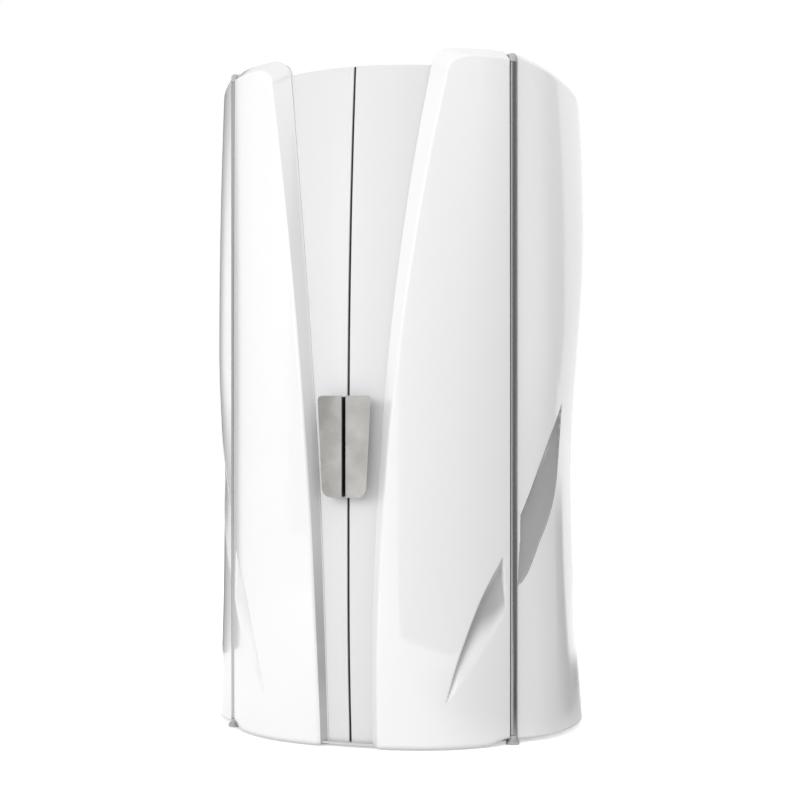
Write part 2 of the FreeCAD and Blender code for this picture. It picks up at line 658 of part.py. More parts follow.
# ======================= side shells =======================
def side_radius(bearing, z):
    """Outside radius of the side shell: upright at the hinge, waisted at the swoosh."""
    def at(values):
        return smooth(SIDE_SHAPE_BEARINGS, values, bearing)
    profile = ((0.0, at(SIDE_FOOT)), (at(SIDE_WAIST_Z), at(SIDE_WAIST)),
               (at(SIDE_BULGE_Z), at(SIDE_BULGE)), (TOTAL_HEIGHT, at(SIDE_HEAD)))
    return HINGE_RADIUS + ease(profile, z)


def ease(profile, z):
    """Join levels with smooth steps that are level at each listed height but the ends."""
    for (z0, r0), (z1, r1) in zip(profile, profile[1:]):
        if z <= z1:
            t = max((z - z0) / (z1 - z0), 0.0)
            if z0 == 0.0:
                t = math.sin(t * math.pi / 2)
            elif z1 == TOTAL_HEIGHT:
                t = t * t
            else:
                t = t * t * (3 - 2 * t)
            return r0 + (r1 - r0) * t
    return profile[-1][1]


def side_top(bearing):
    return TOTAL_HEIGHT - smooth(SIDE_TOP_BEARINGS, SIDE_TOP_DROP, bearing)


def side_section(bearing, inset, inner):
    """Upright section with a rounded shoulder at the top."""
    top = side_top(bearing) - inset
    low = SHELL_BOTTOM + inset
    shoulder = SIDE_SHOULDER - inset
    heights = spread(low, top - shoulder, SIDE_LEVELS)
    points = [place(bearing, side_radius(bearing, z) - inset, z) for z in heights]
    face_r = side_radius(bearing, heights[-1]) - inset
    end = place(bearing, face_r - shoulder, top)
    turn = math.radians(45)
    middle = place(bearing, face_r - shoulder * (1 - math.cos(turn)),
                   top - shoulder * (1 - math.sin(turn)))
    round_edge = Part.Arc(points[-1], middle, end).toShape()
    back_top = place(bearing, inner, top)
    back_low = place(bearing, inner, low)
    return Part.Wire([spline(points), round_edge, Part.makeLine(end, back_top),
                      Part.makeLine(back_top, back_low), Part.makeLine(back_low, points[0])])


def side_solid(inset):
    start = SIDE_BEARINGS[0] + math.degrees(inset / HINGE_RADIUS)
    end = SIDE_BEARINGS[-1] - math.degrees(inset / HINGE_RADIUS)
    bearings = (start,) + SIDE_BEARINGS[1:-1] + (end,)
    inner = STILE_OUTER + SEAT_GAP if not inset else STILE_OUTER / 2
    body = Part.makeLoft([side_section(b, inset, inner) for b in bearings], True, True)
    return body.cut(swoosh_cutter(side_radius, inset, FULL_TURN, SIDE_BEARINGS[0] - 7.0))


def side_shell():
    """Moulded side: skin, hinge flange to the jamb, rear flange and narrow top and floor lips."""
    shell = side_solid(0.0).cut(side_solid(SKIN))
    flange_end = SIDE_BEARINGS[0] + HINGE_FLANGE_BEARING
    inside = ring(STILE_OUTER / 2, SIDE_INNER, 0, TOTAL_HEIGHT + SKIN, flange_end,
                  SIDE_BEARINGS[-1] + HINGE_FLANGE_BEARING)
    return shell.cut(inside).cut(bracket_notch(SEAT_GAP))


# ======================= hinge =======================
def hinge_post():
    """Round post with a pin at each end."""
    low = FOOT_TOP + SEAT_GAP
    post = round_bar(POST_RADIUS, POST_TOP - low, hinge_point(0, 0, low))
    lower_pin = round_bar(PIN_RADIUS, PIN_LENGTH, hinge_point(0, 0, low - PIN_LENGTH))
    upper_pin = round_bar(PIN_RADIUS, PIN_LENGTH, hinge_point(0, 0, POST_TOP))
    return post.fuse([lower_pin, upper_pin]).removeSplitter()


def pivot_foot():
    """Stepped bearing foot that stands on the floor beside the base plate."""
    disc = round_bar(FOOT_DISC_RADIUS, BASE_BOTTOM, hinge_point(0, 0, 0))
    step = round_bar(FOOT_STEP_RADIUS, BASE_TOP - BASE_BOTTOM, hinge_point(0, 0, BASE_BOTTOM))
    cup = round_bar(FOOT_CUP_RADIUS, FOOT_TOP - BASE_TOP, hinge_point(0, 0, BASE_TOP))
    floor = FOOT_TOP - PIN_LENGTH
    bore = round_bar(PIN_RADIUS + PIN_CLEARANCE, PIN_LENGTH, hinge_point(0, 0, floor))
    return disc.fuse([step, cup]).removeSplitter().cut(bore)


def rectangle(outward, along):
    """Plan rectangle beside the hinge, from its (from, to) pairs."""
    return ((outward[0], along[0]), (outward[1], along[0]), (outward[1], along[1]),
            (outward[0], along[1]))


def bracket_notch(clear):
    """Space that the bracket's arm, web and shelf take through the side shell's flange."""
    outward = (BRACKET_BACK - BRACKET_WEB - BRACKET_SHELF - clear, -BRACKET_ROOT)
    along = (-clear, BRACKET_WIDTH + clear)
    return hinge_plate(rectangle(outward, along), ROOF_Z - clear, BRACKET_CROWN + clear)


def hinge_bracket():
    """Top bearing: a domed boss on an arm that stands on the top ring."""
    low = POST_TOP + SEAT_GAP
    boss = round_bar(POST_RADIUS, BRACKET_CROWN - low, hinge_point(0, 0, low))
    dome = Part.makeSphere(POST_RADIUS, hinge_point(0, 0, BRACKET_CROWN), UP, 0, 90, FULL_TURN)
    back = BRACKET_BACK
    front = back - BRACKET_WEB
    outline = ((front, 0), (-BRACKET_ROOT, -BRACKET_NECK), (-BRACKET_ROOT, BRACKET_NECK),
               (back, BRACKET_WIDTH), (front, BRACKET_WIDTH))
    arm = hinge_plate(outline, low + BRACKET_UNDERCUT, BRACKET_CROWN)
    web = hinge_plate(rectangle((front, back), (BRACKET_WIDTH / 6, BRACKET_WIDTH)),
                      ROOF_Z, BRACKET_CROWN)
    shelf = hinge_plate(rectangle((front - BRACKET_SHELF, back), (BRACKET_WIDTH / 3, BRACKET_WIDTH)),
                        ROOF_Z, ROOF_Z + SKIN)
    shape = boss.fuse([dome, arm, web, shelf]).removeSplitter()
    clear = ring(0, ROOF_RADIUS + SEAT_GAP, ROOF_Z - SEAT_GAP, ROOF_TOP + SKIN)
    bore = round_bar(PIN_RADIUS + PIN_CLEARANCE, PIN_LENGTH + SEAT_GAP, hinge_point(0, 0, low))
    return shape.cut(clear).cut(bore)


# ======================= leaf frame =======================
def seam_stile():
    high = CHAMBER_TOP
    return box_tube((SEAM_STILE_OFFSET, -STILE_OUTER, DOOR_BOTTOM),
                    (SEAM_STILE_OFFSET + STILE_WIDTH, -STILE_INNER, high), TUBE_WALL)


def radial_tube(bearing, low, high):
    """Deep tube set square to the cabin wall."""
    tube = box_tube((-STILE_WIDTH / 2, -STILE_OUTER, low),
                    (STILE_WIDTH / 2, -STILE_INNER, high), TUBE_WALL)
    return turned(tube, bearing)


def lug_outline(clear):
    """Plan of a lug, from the hinge stile to the post, grown by a clearance."""
    side = math.radians(HINGE_BEARING - HINGE_STILE_BEARING) * STILE_OUTER
    far = -side - STILE_WIDTH / 2 - clear
    inner = STILE_OUTER - HINGE_RADIUS - STILE_WIDTH / 2
    neck = LUG_NECK + clear
    shoulder = WING_BACK_RADIUS - HINGE_RADIUS - LUG_NECK
    return ((inner, far), (shoulder, far), (shoulder, -neck), (0, -neck), (0, neck), (inner, neck))


def hinge_lug(z):
    """Plate from the hinge stile to the post."""
    plate = hinge_plate(lug_outline(0), z, z + LUG_THICKNESS)
    return plate.cut(round_bar(POST_RADIUS + POST_FIT, FAR, hinge_point(0, 0, 0)))


def door_frame():
    """Welded leaf frame: two stiles, two curved rails and three hinge lugs."""
    first = math.degrees((SEAM_STILE_OFFSET + STILE_WIDTH / 2) / STILE_OUTER)
    pieces = [radial_tube(HINGE_STILE_BEARING, DOOR_BOTTOM, CHAMBER_TOP)]
    for z in (DOOR_BOTTOM, CHAMBER_TOP - RAIL_HEIGHT):
        pieces.append(ring(RAIL_INNER, STILE_OUTER, z, z + RAIL_HEIGHT, first, HINGE_STILE_BEARING))
    pieces += [hinge_lug(z) for z in LUG_HEIGHTS]
    return seam_stile().fuse(pieces).removeSplitter()


# ======================= lamps and shields =======================
def chamber_reflector(start, end, low, high):
    return ring(REFLECTOR_RADIUS, REFLECTOR_RADIUS + REFLECTOR_THICKNESS, low, high, start, end)


def lamps(bearings):
    """Lamp tubes, each a separate solid with few facets."""
    turn = FULL_TURN / LAMP_FACETS
    rim = [place(i * turn, LAMP_RADIUS, LAMP_BOTTOM) for i in range(LAMP_FACETS)]
    tube = Part.Face(polygon(rim)).extrude(V(0, 0, LAMP_LENGTH))
    tube.translate(V(0, -LAMP_RING, 0))
    return Part.makeCompound([turned(tube, b) for b in bearings])


def lamp_holders(bearings):
    """A holder under and over each lamp, seated on the reflector."""
    holders = []
    back = math.sqrt((REFLECTOR_RADIUS - SEAT_GAP) ** 2 - (HOLDER_WIDTH / 2) ** 2)
    for b in bearings:
        for low in (LAMP_BOTTOM - SEAT_GAP - HOLDER_HEIGHT, LAMP_BOTTOM + LAMP_LENGTH + SEAT_GAP):
            holder = block((-HOLDER_WIDTH / 2, -back, low),
                           (HOLDER_WIDTH / 2, -HOLDER_FRONT, low + HOLDER_HEIGHT))
            holders.append(turned(holder, b))
    return Part.makeCompound(holders)


def door_lamp_bearings():
    return spread(DOOR_LAMP_BEARINGS[0], DOOR_LAMP_BEARINGS[1], DOOR_LAMP_COUNT)


def rear_lamp_bearings():
    return spread(REAR_LAMP_BEARING, FULL_TURN - REAR_LAMP_BEARING, REAR_LAMP_COUNT)


def tube_edge(radius, clearance):
    """Half bearing that a radial tube covers at a radius, with a clearance."""
    return math.degrees((STILE_WIDTH / 2 + clearance) / radius)


def door_reflector():
    start = math.degrees(math.asin((SEAM_STILE_OFFSET + STILE_WIDTH + SEAT_GAP) / REFLECTOR_RADIUS))
    end = HINGE_STILE_BEARING - tube_edge(REFLECTOR_RADIUS, SEAT_GAP)
    low = DOOR_BOTTOM + RAIL_HEIGHT / 2
    return chamber_reflector(start, end, low, CHAMBER_TOP)


def door_shield():
    start = math.degrees(math.asin(SEAM_STILE_OFFSET / SHIELD_INNER))
    end = HINGE_STILE_BEARING + tube_edge(SHIELD_OUTER, 0)
    return ring(SHIELD_INNER, SHIELD_OUTER, DOOR_BOTTOM, CHAMBER_TOP, start, end)


def reflector_rear():
    start = JAMB_BEARING + tube_edge(REFLECTOR_RADIUS, SEAT_GAP)
    return chamber_reflector(start, FULL_TURN - start, SHELL_BOTTOM, TOP_RING_Z - SEAT_GAP)


def shield_rear():
    start = JAMB_BEARING - tube_edge(SHIELD_OUTER, 0)
    return ring(SHIELD_INNER, SHIELD_OUTER, SHELL_BOTTOM, ROOF_Z - SEAT_GAP, start, FULL_TURN - start)


# ======================= handles =======================
def rounded_prism(corners, radii, depth):
    """Front-elevation outline with rounded corners, drawn through from front to back."""
    solid = Part.Face(polygon([V(x, 0, z) for x, z in corners])).extrude(V(0, -depth, 0))
    for (x, z), radius in zip(corners, radii):
        edge = min(solid.Edges, key=lambda e: corner_distance(e, x, z))
        solid = solid.makeFillet(radius, [edge])
    return solid


def corner_distance(edge, x, z):
    """How far an edge is from being the front-to-back edge at (x, z)."""
    ends = [v.Point for v in edge.Vertexes]
    return sum(math.hypot(p.x - x, p.z - z) for p in ends) if len(ends) == 2 else FAR


def door_handle():
    """Tapered plate held off the leaf by a web, open to the hand at its outer side."""
    corners = ((PLATE_INNER_X, PLATE_BOTTOM), (PLATE_OUTER_X_LOW, PLATE_BOTTOM),
               (PLATE_OUTER_X_TOP, PLATE_TOP), (PLATE_INNER_X, PLATE_TOP))
    outline = rounded_prism(corners, PLATE_CORNERS, FAR)
    plate = ring(PLATE_RADIUS - PLATE_THICKNESS, PLATE_RADIUS, PLATE_BOTTOM, PLATE_TOP,
                 0, PANEL_END_BEARING).common(outline)
    web = block((HANDLE_WEB_X[0], -PLATE_RADIUS, HANDLE_WEB_Z[0]),
                (HANDLE_WEB_X[1], -PANEL_RADIUS / 2, HANDLE_WEB_Z[1]))
    web = web.common(ring(0, PLATE_RADIUS - PLATE_THICKNESS / 2, 0, TOTAL_HEIGHT, 0, PANEL_END_BEARING))
    web = web.cut(panel_core(0, DOOR_BOTTOM, PANEL_TOP, 0, PANEL_END_BEARING))
    return plate.fuse(web).removeSplitter()


def inner_pull():
    """Bar on two studs, on the inside of the seam stile."""
    x = SEAM_STILE_OFFSET + STILE_WIDTH / 2
    front = -SHIELD_INNER
    back = front + PULL_STAND
    bar = round_bar(PULL_RADIUS, PULL_Z[1] - PULL_Z[0], V(x, back, PULL_Z[0]))
    studs = []
    for z in (PULL_Z[0] + PULL_RADIUS, PULL_Z[1] - PULL_RADIUS):
        studs.append(round_bar(PULL_STUD_RADIUS, PULL_STAND, V(x, back, z), V(0, -1, 0)))
    keep = ring(0, SHIELD_INNER - SEAT_GAP, 0, TOTAL_HEIGHT)
    return bar.fuse(studs).removeSplitter().common(keep)


# ======================= base =======================
def base_plate():
    plate = ring(0, BASE_RADIUS, BASE_BOTTOM, BASE_TOP)
    for side in (1, -1):
        notch = round_bar(FOOT_STEP_RADIUS + SEAT_GAP, FAR, hinge_point(0, 0, -SKIN))
        plate = plate.cut(notch if side > 0 else mirrored(notch))
    return plate


def levelling_feet():
    """One foot under the middle and a circle of feet round it."""
    profile = ((0, 0), (LEVEL_PAD_RADIUS, 0), (LEVEL_PAD_RADIUS, LEVEL_PAD_THICKNESS),
               (LEVEL_STEM_RADIUS, LEVEL_PAD_THICKNESS), (LEVEL_STEM_RADIUS, BASE_BOTTOM),
               (0, BASE_BOTTOM))
    foot = sector(profile, 0, FULL_TURN)
    feet = [foot]
    for i in range(FOOT_COUNT):
        copy = foot.copy()
        copy.translate(place(FULL_TURN * i / FOOT_COUNT, PANEL_RADIUS - FOOT_INSET, 0))
        feet.append(copy)
    return Part.makeCompound(feet)


def platform():
    """Round moulded step: a top plate and a skirt, open below."""
    inner = PLATFORM_RADIUS - PLATFORM_WALL
    under = PLATFORM_TOP - PLATFORM_WALL
    return sector(((0, under), (inner, under), (inner, BASE_TOP), (PLATFORM_RADIUS, BASE_TOP),
                   (PLATFORM_RADIUS, PLATFORM_TOP), (0, PLATFORM_TOP)), 0, FULL_TURN)


def floor_mat():
    top = PLATFORM_TOP + MAT_THICKNESS
    edge = MAT_RADIUS - MAT_THICKNESS
    return sector(((0, PLATFORM_TOP), (MAT_RADIUS, PLATFORM_TOP), (edge, top), (0, top)),
                  0, FULL_TURN)


# ======================= fixed frame =======================
def cabin_jamb():
    return radial_tube(JAMB_BEARING, SHELL_BOTTOM, TOP_RING_Z)


def upright_centres():
    """Where the two uprights of one side stand; the rear one backs onto the ballast plate."""
    side = place(UPRIGHT_BEARING, UPRIGHT_RING, BASE_TOP)
    y = BALLAST_PLATE_Y - UPRIGHT_SIZE / 2
    return side, V(math.sqrt(UPRIGHT_RING ** 2 - y ** 2), y, BASE_TOP)


def frame_uprights():
    """Four square tubes, two at the sides and two that carry the ballast plate."""
    half = UPRIGHT_SIZE / 2
    tubes = []
    for centre in upright_centres():
        tube = box_tube((centre.x - half, centre.y - half, BASE_TOP),
                        (centre.x + half, centre.y + half, TOP_RING_Z), TUBE_WALL)
        tubes += [tube, mirrored(tube)]
    return Part.makeCompound(tubes)


def top_ring():
    """Flat ring on the jambs and uprights, open at the front."""
    return ring(TOP_RING_INNER, TOP_RING_OUTER, TOP_RING_Z, ROOF_Z, TOP_RING_BEARING,
                FULL_TURN - TOP_RING_BEARING)


# ======================= ceiling and roof =======================
def ceiling_pan():
    inner = PLATFORM_RADIUS - PAN_WALL
    hole = SHROUD_RADIUS + SEAT_GAP
    top = ROOF_Z - SEAT_GAP
    floor = CEILING_Z + PAN_WALL
    return sector(((hole, CEILING_Z), (PLATFORM_RADIUS, CEILING_Z), (PLATFORM_RADIUS, top),
                   (inner, top), (inner, floor), (hole, floor)), 0, FULL_TURN)


def roof_panel():
    return ring(DUCT_RADIUS - DUCT_WALL, ROOF_RADIUS, ROOF_Z, ROOF_TOP)


def exhaust_collar():
    inner = DUCT_RADIUS - DUCT_WALL
    flange = ROOF_TOP + SKIN
    top = ROOF_TOP + DUCT_HEIGHT
    return sector(((inner, ROOF_TOP), (DUCT_FLANGE_RADIUS, ROOF_TOP), (DUCT_FLANGE_RADIUS, flange),
                   (DUCT_RADIUS, flange), (DUCT_RADIUS, top), (inner, top)), 0, FULL_TURN)


def fan_shroud():
    """Ring with three arms that carry the motor."""
    inner = SHROUD_RADIUS - SHROUD_WALL
    shape = ring(inner, SHROUD_RADIUS, CEILING_Z, ROOF_Z - SEAT_GAP)
    hub = round_bar(MOTOR_RADIUS, SKIN, V(0, 0, MOTOR_TOP))
    half = SHROUD_ARM_WIDTH / 2
    arms = []
    for i in range(3):
        arm = block((-half, -inner - SHROUD_WALL / 2, MOTOR_TOP),
                    (half, -MOTOR_RADIUS / 2, MOTOR_TOP + SKIN))
        arms.append(turned(arm, FULL_TURN * (i + 0.5) / 3))
    return shape.fuse([hub] + arms).removeSplitter()


def fan_motor():
    """Can, neck and shaft, which reaches a little way out of the rotor's hub."""
    neck = MOTOR_RADIUS / 3
    neck_z = MOTOR_Z - MOTOR_NECK
    low = ROTOR_Z - MOTOR_NECK / 2
    return sector(((0, low), (SHAFT_RADIUS, low), (SHAFT_RADIUS, neck_z), (neck, neck_z),
                   (neck, MOTOR_Z), (MOTOR_RADIUS, MOTOR_Z), (MOTOR_RADIUS, MOTOR_TOP),
                   (0, MOTOR_TOP)), 0, FULL_TURN)


def fan_rotor():
    hub = ring(SHAFT_RADIUS + SHAFT_CLEARANCE, ROTOR_HUB, ROTOR_Z, ROTOR_Z + ROTOR_HEIGHT)
    blades = []
    middle = ROTOR_Z + ROTOR_HEIGHT / 2
    half = BLADE_THICKNESS / 2
    for i in range(BLADE_COUNT):
        blade = block((-BLADE_WIDTH / 2, -ROTOR_RADIUS, middle - half),
                      (BLADE_WIDTH / 2, -ROTOR_HUB / 2, middle + half))
        blade.rotate(V(0, 0, middle), V(0, 1, 0), BLADE_PITCH / 2)
        blades.append(turned(blade, FULL_TURN * i / BLADE_COUNT))
    limit = ring(ROTOR_HUB - SEAT_GAP, ROTOR_RADIUS, ROTOR_Z, ROTOR_Z + ROTOR_HEIGHT)
    return hub.fuse([b.common(limit) for b in blades]).removeSplitter()


def fan_guard():
    """Hub, rim and radial bars under the fan."""
    low = CEILING_Z - GUARD_THICKNESS
    inner = SHROUD_RADIUS - GUARD_RIM[0]
    rim = ring(inner, SHROUD_RADIUS + GUARD_RIM[1], low, CEILING_Z)
    hub = round_bar(GUARD_HUB, GUARD_THICKNESS, V(0, 0, low))
    half = GUARD_THICKNESS / 2
    bars = []
    for i in range(GUARD_BARS):
        bar = block((-half, -inner - half, low), (half, -GUARD_HUB + half, CEILING_Z))
        bars.append(turned(bar, FULL_TURN * i / GUARD_BARS))
    return rim.fuse([hub] + bars).removeSplitter()


def hand_grip():
    """Hanging loop of round bar with two ceiling plates."""
    half = GRIP_SPAN / 2
    turn = 3 * GRIP_RADIUS
    top = CEILING_Z - SKIN
    low = CEILING_Z - GRIP_DROP
    section = Part.Face(Part.Wire(Part.makeCircle(GRIP_RADIUS, V(GRIP_X, half, low + turn), UP)))
    bend = section.revolve(V(GRIP_X, half - turn, low + turn), V(-1, 0, 0), 90)
    leg = round_bar(GRIP_RADIUS, top - low - turn, V(GRIP_X, half, low + turn))
    plate = round_bar(2 * GRIP_RADIUS, SKIN, V(GRIP_X, half, top))
    bottom = round_bar(GRIP_RADIUS, half - turn, V(GRIP_X, 0, low), V(0, 1, 0))
    side = bottom.fuse([bend, leg, plate])
    return side.fuse(side.mirror(ORIGIN, V(0, 1, 0))).removeSplitter()


def speaker_grilles():
    """Two round ceiling grilles with slots."""
    low = CEILING_Z - SKIN
    grille = sector(((0, low), (SPEAKER_RADIUS - SKIN, low), (SPEAKER_RADIUS, CEILING_Z),
                     (0, CEILING_Z)), 0, FULL_TURN)
    length, width = SPEAKER_SLOT
    for i in range(-2, 3):
        y = i * SPEAKER_SLOT_PITCH
        grille = grille.cut(block((-length / 2, y - width / 2, low),
                                  (length / 2, y + width / 2, low + SKIN / 2)))
    grilles = []
    for side in (1, -1):
        copy = grille.copy()
        copy.translate(V(side * SPEAKER_PLACE[0], SPEAKER_PLACE[1], 0))
        grilles.append(copy)
    return Part.makeCompound(grilles)


# ======================= control panel =======================
def control_place(shape):
    """Move a shape drawn against the plane y = 0 to the cabin wall."""
    copy = shape.copy()
    copy.translate(V(0, -CONTROL_BACK, CONTROL_Z))
    return turned(copy, CONTROL_BEARING)


def control_panel():
    width, depth, height = CONTROL_SIZE
    body = block((-width / 2, 0, -height / 2), (width / 2, depth, height / 2))
    outer = [e for e in body.Edges if all(v.Point.y > depth - 1 for v in e.Vertexes)]
    body = body.makeChamfer(CONTROL_ROUND, outer)
    for x, z in BUTTON_PLACES.values():
        body = body.cut(round_bar(BUTTON_RADIUS + BUTTON_CLEARANCE, BUTTON_POCKET,
                                  V(x, depth - BUTTON_POCKET, z), V(0, 1, 0)))
    w, h = DISPLAY_SIZE
    recess = block((-w / 2, depth - DISPLAY_DEPTH, DISPLAY_Z - h / 2),
                   (w / 2, depth, DISPLAY_Z + h / 2))
    back = ring(0, SHIELD_INNER - SEAT_GAP, 0, TOTAL_HEIGHT)
    return control_place(body.cut(recess)).common(back)


def display_window():
    w, h = DISPLAY_SIZE
    depth = CONTROL_SIZE[1]
    window = block((-w / 2 + SEAT_GAP, depth - DISPLAY_DEPTH, DISPLAY_Z - h / 2 + SEAT_GAP),
                   (w / 2 - SEAT_GAP, depth - SEAT_GAP, DISPLAY_Z + h / 2 - SEAT_GAP))
    return control_place(window)


def button(name):
    """Sprung push button in its pocket."""
    x, z = BUTTON_PLACES[name]
    depth = CONTROL_SIZE[1]
    inner = depth - BUTTON_POCKET + BUTTON_TRAVEL + SEAT_GAP
    cap = round_bar(BUTTON_RADIUS, depth + BUTTON_PROUD - inner, V(x, inner, z), V(0, 1, 0))
    front = [e for e in cap.Edges if min(v.Point.y for v in e.Vertexes) > depth]
    return control_place(cap.makeChamfer(BUTTON_EDGE, front))


# ======================= rear =======================
def rear_cover():
    """Curved service cover with flanges and two banks of air slots."""
    start = SIDE_BEARINGS[-1] + math.degrees(2 * SEAT_GAP / REAR_RADIUS)
    end = FULL_TURN - start
    outer = ring(REAR_FLANGE_RADIUS, REAR_RADIUS, SHELL_BOTTOM, REAR_TOP, start, end)
    fold = math.degrees(SKIN / REAR_RADIUS)
    inner = ring(REAR_FLANGE_RADIUS / 2, REAR_RADIUS - SKIN, SHELL_BOTTOM + SKIN, REAR_TOP - SKIN,
                 start + fold, end - fold)
    cover = outer.cut(inner)
    slots = []
    for bank in (LOUVRE_LOW, TOTAL_HEIGHT - LOUVRE_DROP):
        for i in range(LOUVRE_COUNT):
            z = bank + i * LOUVRE_PITCH
            slots.append(block((-LOUVRE_WIDTH / 2, REAR_FLANGE_RADIUS, z),
                               (LOUVRE_WIDTH / 2, REAR_RADIUS + SKIN, z + LOUVRE_OPEN)))
    return cover.cut(Part.makeCompound(slots))


def ballast_plate():
    half = upright_centres()[1].x + UPRIGHT_SIZE / 2 + BALLAST_PLATE_MARGIN
    return block((-half, BALLAST_PLATE_Y, BALLAST_PLATE_Z[0]),
                 (half, BALLAST_PLATE_Y + BALLAST_PLATE_THICKNESS, BALLAST_PLATE_Z[1]))


def ballasts():
    y = BALLAST_PLATE_Y + BALLAST_PLATE_THICKNESS
    w, d, h = BALLAST_SIZE
    boxes = []
    for i in range(BALLAST_COLUMNS):
        for j in range(BALLAST_ROWS):
            x = (i - (BALLAST_COLUMNS - 1) / 2) * BALLAST_PITCH[0]
            z = BALLAST_PLATE_Z[0] + BALLAST_FIRST + j * BALLAST_PITCH[1]
            boxes.append(block((x - w / 2, y, z), (x + w / 2, y + d, z + h)))
    return Part.makeCompound(boxes)


def terminal_box():
    w, d, h = TERMINAL_SIZE
    body = block((-w / 2, TERMINAL_Y, ROOF_TOP), (w / 2, TERMINAL_Y + d, ROOF_TOP + h))
    upright = [e for e in body.Edges if abs(e.Vertexes[0].Point.z - e.Vertexes[1].Point.z) > h / 2]
    return body.makeFillet(TERMINAL_ROUND, upright)


def mains_gland():
    """Cable gland on the terminal box: hexagon collar and bored nose."""
    y = TERMINAL_Y + TERMINAL_SIZE[1]
    base = V(0, y, ROOF_TOP + TERMINAL_SIZE[2] / 2)
    hexagon = [base + V(GLAND_COLLAR * math.sin(a), 0, GLAND_COLLAR * math.cos(a))
               for a in [math.radians(60 * i) for i in range(6)]]
    collar = Part.Face(polygon(hexagon)).extrude(V(0, GLAND_LENGTH / 3, 0))
    nose = round_bar(GLAND_RADIUS, GLAND_LENGTH, base, V(0, 1, 0))
    bore = round_bar(GLAND_BORE, GLAND_LENGTH, base, V(0, 1, 0))
    return collar.fuse(nose).removeSplitter().cut(bore)


# ======================= all nodes =======================
def handed(name, shape):
    return {name + "_right": shape, name + "_left": mirrored(shape)}


def both_sides(shape):
    return Part.makeCompound([shape, mirrored(shape)])


def leaf_nodes():
    nodes = {}
    nodes.update(handed("door_panel", door_panel()))
    nodes.update(handed("door_seal", door_seal()))
    nodes.update(handed("door_wing", door_wing()))
    nodes.update(handed("door_frame", door_frame()))
    nodes.update(handed("door_reflector", door_reflector()))
    nodes.update(handed("door_lamps", lamps(door_lamp_bearings())))
    nodes.update(handed("door_lamp_holders", lamp_holders(door_lamp_bearings())))
    nodes.update(handed("door_shield", door_shield()))
    nodes.update(handed("door_handle", door_handle()))
    nodes.update(handed("door_inner_pull", inner_pull()))
    nodes.update(handed("hinge_post", hinge_post()))
    return nodes


def shell_nodes():
    nodes = {}
    nodes.update(handed("side_shell", side_shell()))
    nodes.update(handed("cabin_jamb", cabin_jamb()))
    nodes["hinge_brackets"] = both_sides(hinge_bracket())
    nodes["pivot_feet"] = both_sides(pivot_foot())
    nodes["rear_cover"] = rear_cover()
    return nodes


def cabin_nodes():
    bearings = rear_lamp_bearings()
    return {
        "base_plate": base_plate(),
        "levelling_feet": levelling_feet(),
        "platform": platform(),
        "floor_mat": floor_mat(),
        "frame_uprights": frame_uprights(),
        "top_ring": top_ring(),
        "roof_panel": roof_panel(),
        "ceiling_pan": ceiling_pan(),
        "exhaust_collar": exhaust_collar(),
        "fan_shroud": fan_shroud(),
        "fan_motor": fan_motor(),
        "fan_rotor": fan_rotor(),
        "fan_guard": fan_guard(),
        "hand_grips": both_sides(hand_grip()),
        "speaker_grilles": speaker_grilles(),
        "reflector_rear": reflector_rear(),
        "lamps_rear": lamps(bearings),
        "lamp_holders_rear": lamp_holders(bearings),
        "shield_rear": shield_rear(),
        "control_panel": control_panel(),
        "display_window": display_window(),
        "start_button": button("start"),
        "stop_button": button("stop"),
        "fan_button": button("fan"),
        "ballast_plate": ballast_plate(),
        "ballasts": ballasts(),
        "terminal_box": terminal_box(),
        "mains_gland": mains_gland(),
    }


def main():
    os.makedirs("parts", exist_ok=True)
    nodes = leaf_nodes()
    nodes.update(shell_nodes())
    nodes.update(cabin_nodes())
    for name, shape in nodes.items():
        shape.exportStep("parts/" + name + ".step")


main()
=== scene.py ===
"""Looks of a round upright tanning booth: glossy shells, satin handles, lamps and studio."""
import json
import math

import bpy
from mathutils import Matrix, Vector


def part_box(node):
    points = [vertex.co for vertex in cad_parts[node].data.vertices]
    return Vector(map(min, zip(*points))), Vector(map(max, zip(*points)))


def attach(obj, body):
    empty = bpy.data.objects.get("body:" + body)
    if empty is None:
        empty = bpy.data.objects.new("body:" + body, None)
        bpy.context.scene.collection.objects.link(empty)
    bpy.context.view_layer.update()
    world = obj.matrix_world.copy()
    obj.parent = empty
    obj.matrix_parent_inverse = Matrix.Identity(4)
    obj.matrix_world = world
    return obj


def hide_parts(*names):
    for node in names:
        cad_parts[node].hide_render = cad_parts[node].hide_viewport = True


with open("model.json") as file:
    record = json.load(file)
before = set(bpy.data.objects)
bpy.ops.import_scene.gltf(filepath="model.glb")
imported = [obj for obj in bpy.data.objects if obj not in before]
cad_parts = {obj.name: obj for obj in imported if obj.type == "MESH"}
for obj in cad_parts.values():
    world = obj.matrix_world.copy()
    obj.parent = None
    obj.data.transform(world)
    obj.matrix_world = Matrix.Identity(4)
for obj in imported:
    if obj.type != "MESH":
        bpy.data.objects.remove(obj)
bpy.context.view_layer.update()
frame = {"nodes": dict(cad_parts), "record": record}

NODES = frame["nodes"]
SIDES = (("right", 1, "door_right"), ("left", -1, "door_left"))

# Lengths are in metres and bearings in degrees from the front, positive to the right.
MM = 0.001

